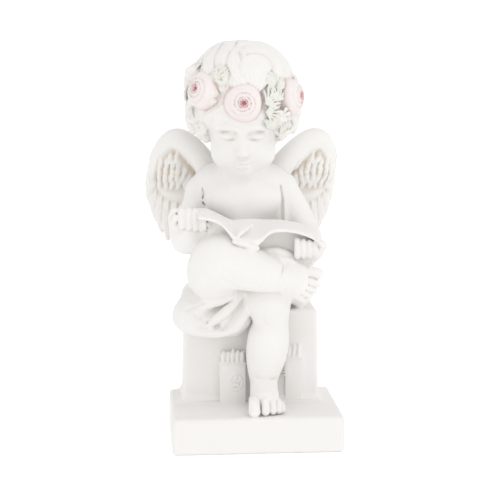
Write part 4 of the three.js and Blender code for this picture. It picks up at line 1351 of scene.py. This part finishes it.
class CherubCasting(bpy.types.PropertyGroup):
    cell: bpy.props.FloatProperty(
        name="Grain of the model", description="Distance between the sculpting points",
        default=0.0006, min=0.0005, unit="LENGTH")
    triangles: bpy.props.IntProperty(
        name="Most triangles", description="Triangles the casting may have",
        default=190000, min=10000)
    stone: hex_colour("Stone", "of the cast stone", "#f1efee")
    stone_shade: hex_colour("Stone, darker", "of its slightly darker clouds", "#edebe8")
    # The colour and the strength of the painted shade in the hollows.
    hollow: hex_colour("Hollows", "that the hollows take on", "#c9b69f")
    painted_shade_strength: bpy.props.FloatProperty(
        name="Hollow wash", description="How strongly the hollows take it on", default=0.65,
        min=0, max=1, subtype="FACTOR")
    petal: hex_colour("Petals", "of the wash on the petals", "#efdcdc")
    # Painted shade: the darker colours that the paints take in the creases.
    petal_shaded: hex_colour("Petals, deep", "where the wash pools", "#dcbcbc")
    heart_shaded: hex_colour("Rose hearts, deep", "where the wash pools", "#9c3a52")
    leaf_shaded: hex_colour("Leaves, deep", "where the wash pools", "#8d9379")
    heart: hex_colour("Rose hearts", "of the wash in the roses", "#e07c90")
    leaf: hex_colour("Leaves", "of the wash on the leaves", "#cdd0bb")


class CherubStage(bpy.types.PropertyGroup):
    lens: bpy.props.FloatProperty(
        name="Lens", description="Focal length", default=100.8, min=10, unit="CAMERA")
    camera_at: bpy.props.FloatVectorProperty(
        name="Camera", description="Where the camera stands", default=(-0.0846, -1.0052, 0.2825),
        subtype="TRANSLATION", unit="LENGTH")
    camera_yaw: bpy.props.FloatProperty(
        name="Camera yaw", description="Turn towards the figure's left", default=math.radians(4.65),
        subtype="ANGLE")
    camera_pitch: bpy.props.FloatProperty(
        name="Camera pitch", description="Tilt above the level", default=math.radians(-8.06),
        subtype="ANGLE")
    paper: hex_colour("Paper", "of the floor", "#fbfbfa")
    sky: bpy.props.FloatProperty(
        name="Sky", description="Strength of the even light", default=0.79, min=0)
    key: bpy.props.FloatProperty(
        name="Key light", description="Watts of the main light", default=2.9, min=0, unit="POWER")
    exposure: bpy.props.FloatProperty(
        name="Exposure", description="Stops of exposure", default=0.0)


# ------------------------------------------------------------------ operators
def whole_clay():
    if clay is None:
        raise RuntimeError("the base comes first: it sets out the clay")
    return clay


class CHERUB_OT_base(bpy.types.Operator):
    """Set out the clay, with the slab, the block and the two small standing books"""

    bl_idname = "cherub.base"
    bl_label = "Base and seat"

    def execute(self, context):
        global clay
        cell = context.scene.cherub_casting.cell / UNIT
        clay = Clay(*CLAY_BOX, cell)
        model_base(clay)
        return {"FINISHED"}


class CHERUB_OT_figure(bpy.types.Operator):
    """Model the child's trunk, legs and arms"""

    bl_idname = "cherub.figure"
    bl_label = "Figure"

    def execute(self, context):
        kit = whole_clay()
        model_trunk(kit)
        model_drapery(kit)
        model_legs(kit)
        model_arms(kit)
        return {"FINISHED"}


class CHERUB_OT_book(bpy.types.Operator):
    """Model the open book and the fingers that hold it"""

    bl_idname = "cherub.book"
    bl_label = "Book and hands"

    def execute(self, context):
        kit = whole_clay()
        model_book(kit)
        model_hands(kit)
        return {"FINISHED"}


class CHERUB_OT_wings(bpy.types.Operator):
    """Model both wings with their feathers"""

    bl_idname = "cherub.wings"
    bl_label = "Wings"

    def execute(self, context):
        model_wings(whole_clay())
        return {"FINISHED"}


class CHERUB_OT_head(bpy.types.Operator):
    """Model the face and the hair"""

    bl_idname = "cherub.head"
    bl_label = "Head and hair"

    def execute(self, context):
        kit = whole_clay()
        model_face(kit)
        model_hair(kit)
        return {"FINISHED"}


class CHERUB_OT_wreath(bpy.types.Operator):
    """Model the wreath of roses and leaves"""

    bl_idname = "cherub.wreath"
    bl_label = "Wreath"

    def execute(self, context):
        model_wreath(whole_clay())
        return {"FINISHED"}


class CHERUB_OT_casting(bpy.types.Operator):
    """Cast the clay as one mesh in white stone, with its thin washes of colour, its painted shade
    and its painted highlights
    """

    bl_idname = "cherub.casting"
    bl_label = "Casting"

    def execute(self, context):
        kit = whole_clay()
        settings = context.scene.cherub_casting
        most = settings.triangles // 1
        piece = cast_mesh(kit, most)
        paint(kit, piece)
        piece.data.materials.append(cast_stone(settings))
        for polygon in piece.data.polygons:
            polygon.use_smooth = True
        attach(piece, "root")
        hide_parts(NODE)
        return {"FINISHED"}


class CHERUB_OT_stage(bpy.types.Operator):
    """Set up the camera, the paper floor and the lights"""

    bl_idname = "cherub.stage"
    bl_label = "Stage"

    def execute(self, context):
        build_stage(context.scene.cherub_stage)
        return {"FINISHED"}


STEPS = (CHERUB_OT_base, CHERUB_OT_figure, CHERUB_OT_book, CHERUB_OT_wings, CHERUB_OT_head,
         CHERUB_OT_wreath, CHERUB_OT_casting, CHERUB_OT_stage)


class CHERUB_PT_panel(bpy.types.Panel):
    bl_idname = "CHERUB_PT_panel"
    bl_label = "Cast stone cherub"
    bl_space_type = "VIEW_3D"
    bl_region_type = "UI"
    bl_category = "Cherub"

    def draw(self, context):
        for step in STEPS:
            self.layout.operator(step.bl_idname)
        for group in (context.scene.cherub_casting, context.scene.cherub_stage):
            box = self.layout.box()
            for name in group.__annotations__:
                box.prop(group, name)


CLASSES = (CherubCasting, CherubStage, *STEPS, CHERUB_PT_panel)


def register():
    for made in CLASSES:
        bpy.utils.register_class(made)
    bpy.types.Scene.cherub_casting = bpy.props.PointerProperty(type=CherubCasting)
    bpy.types.Scene.cherub_stage = bpy.props.PointerProperty(type=CherubStage)


def unregister():
    del bpy.types.Scene.cherub_stage
    del bpy.types.Scene.cherub_casting
    for made in reversed(CLASSES):
        bpy.utils.unregister_class(made)


def main():
    register()
    for step in STEPS:
        began = time.time()
        group, name = step.bl_idname.split(".")
        getattr(getattr(bpy.ops, group), name)()
        print(step.bl_idname, round(time.time() - began, 1), "s")
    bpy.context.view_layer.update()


if __name__ == "__main__":
    main()
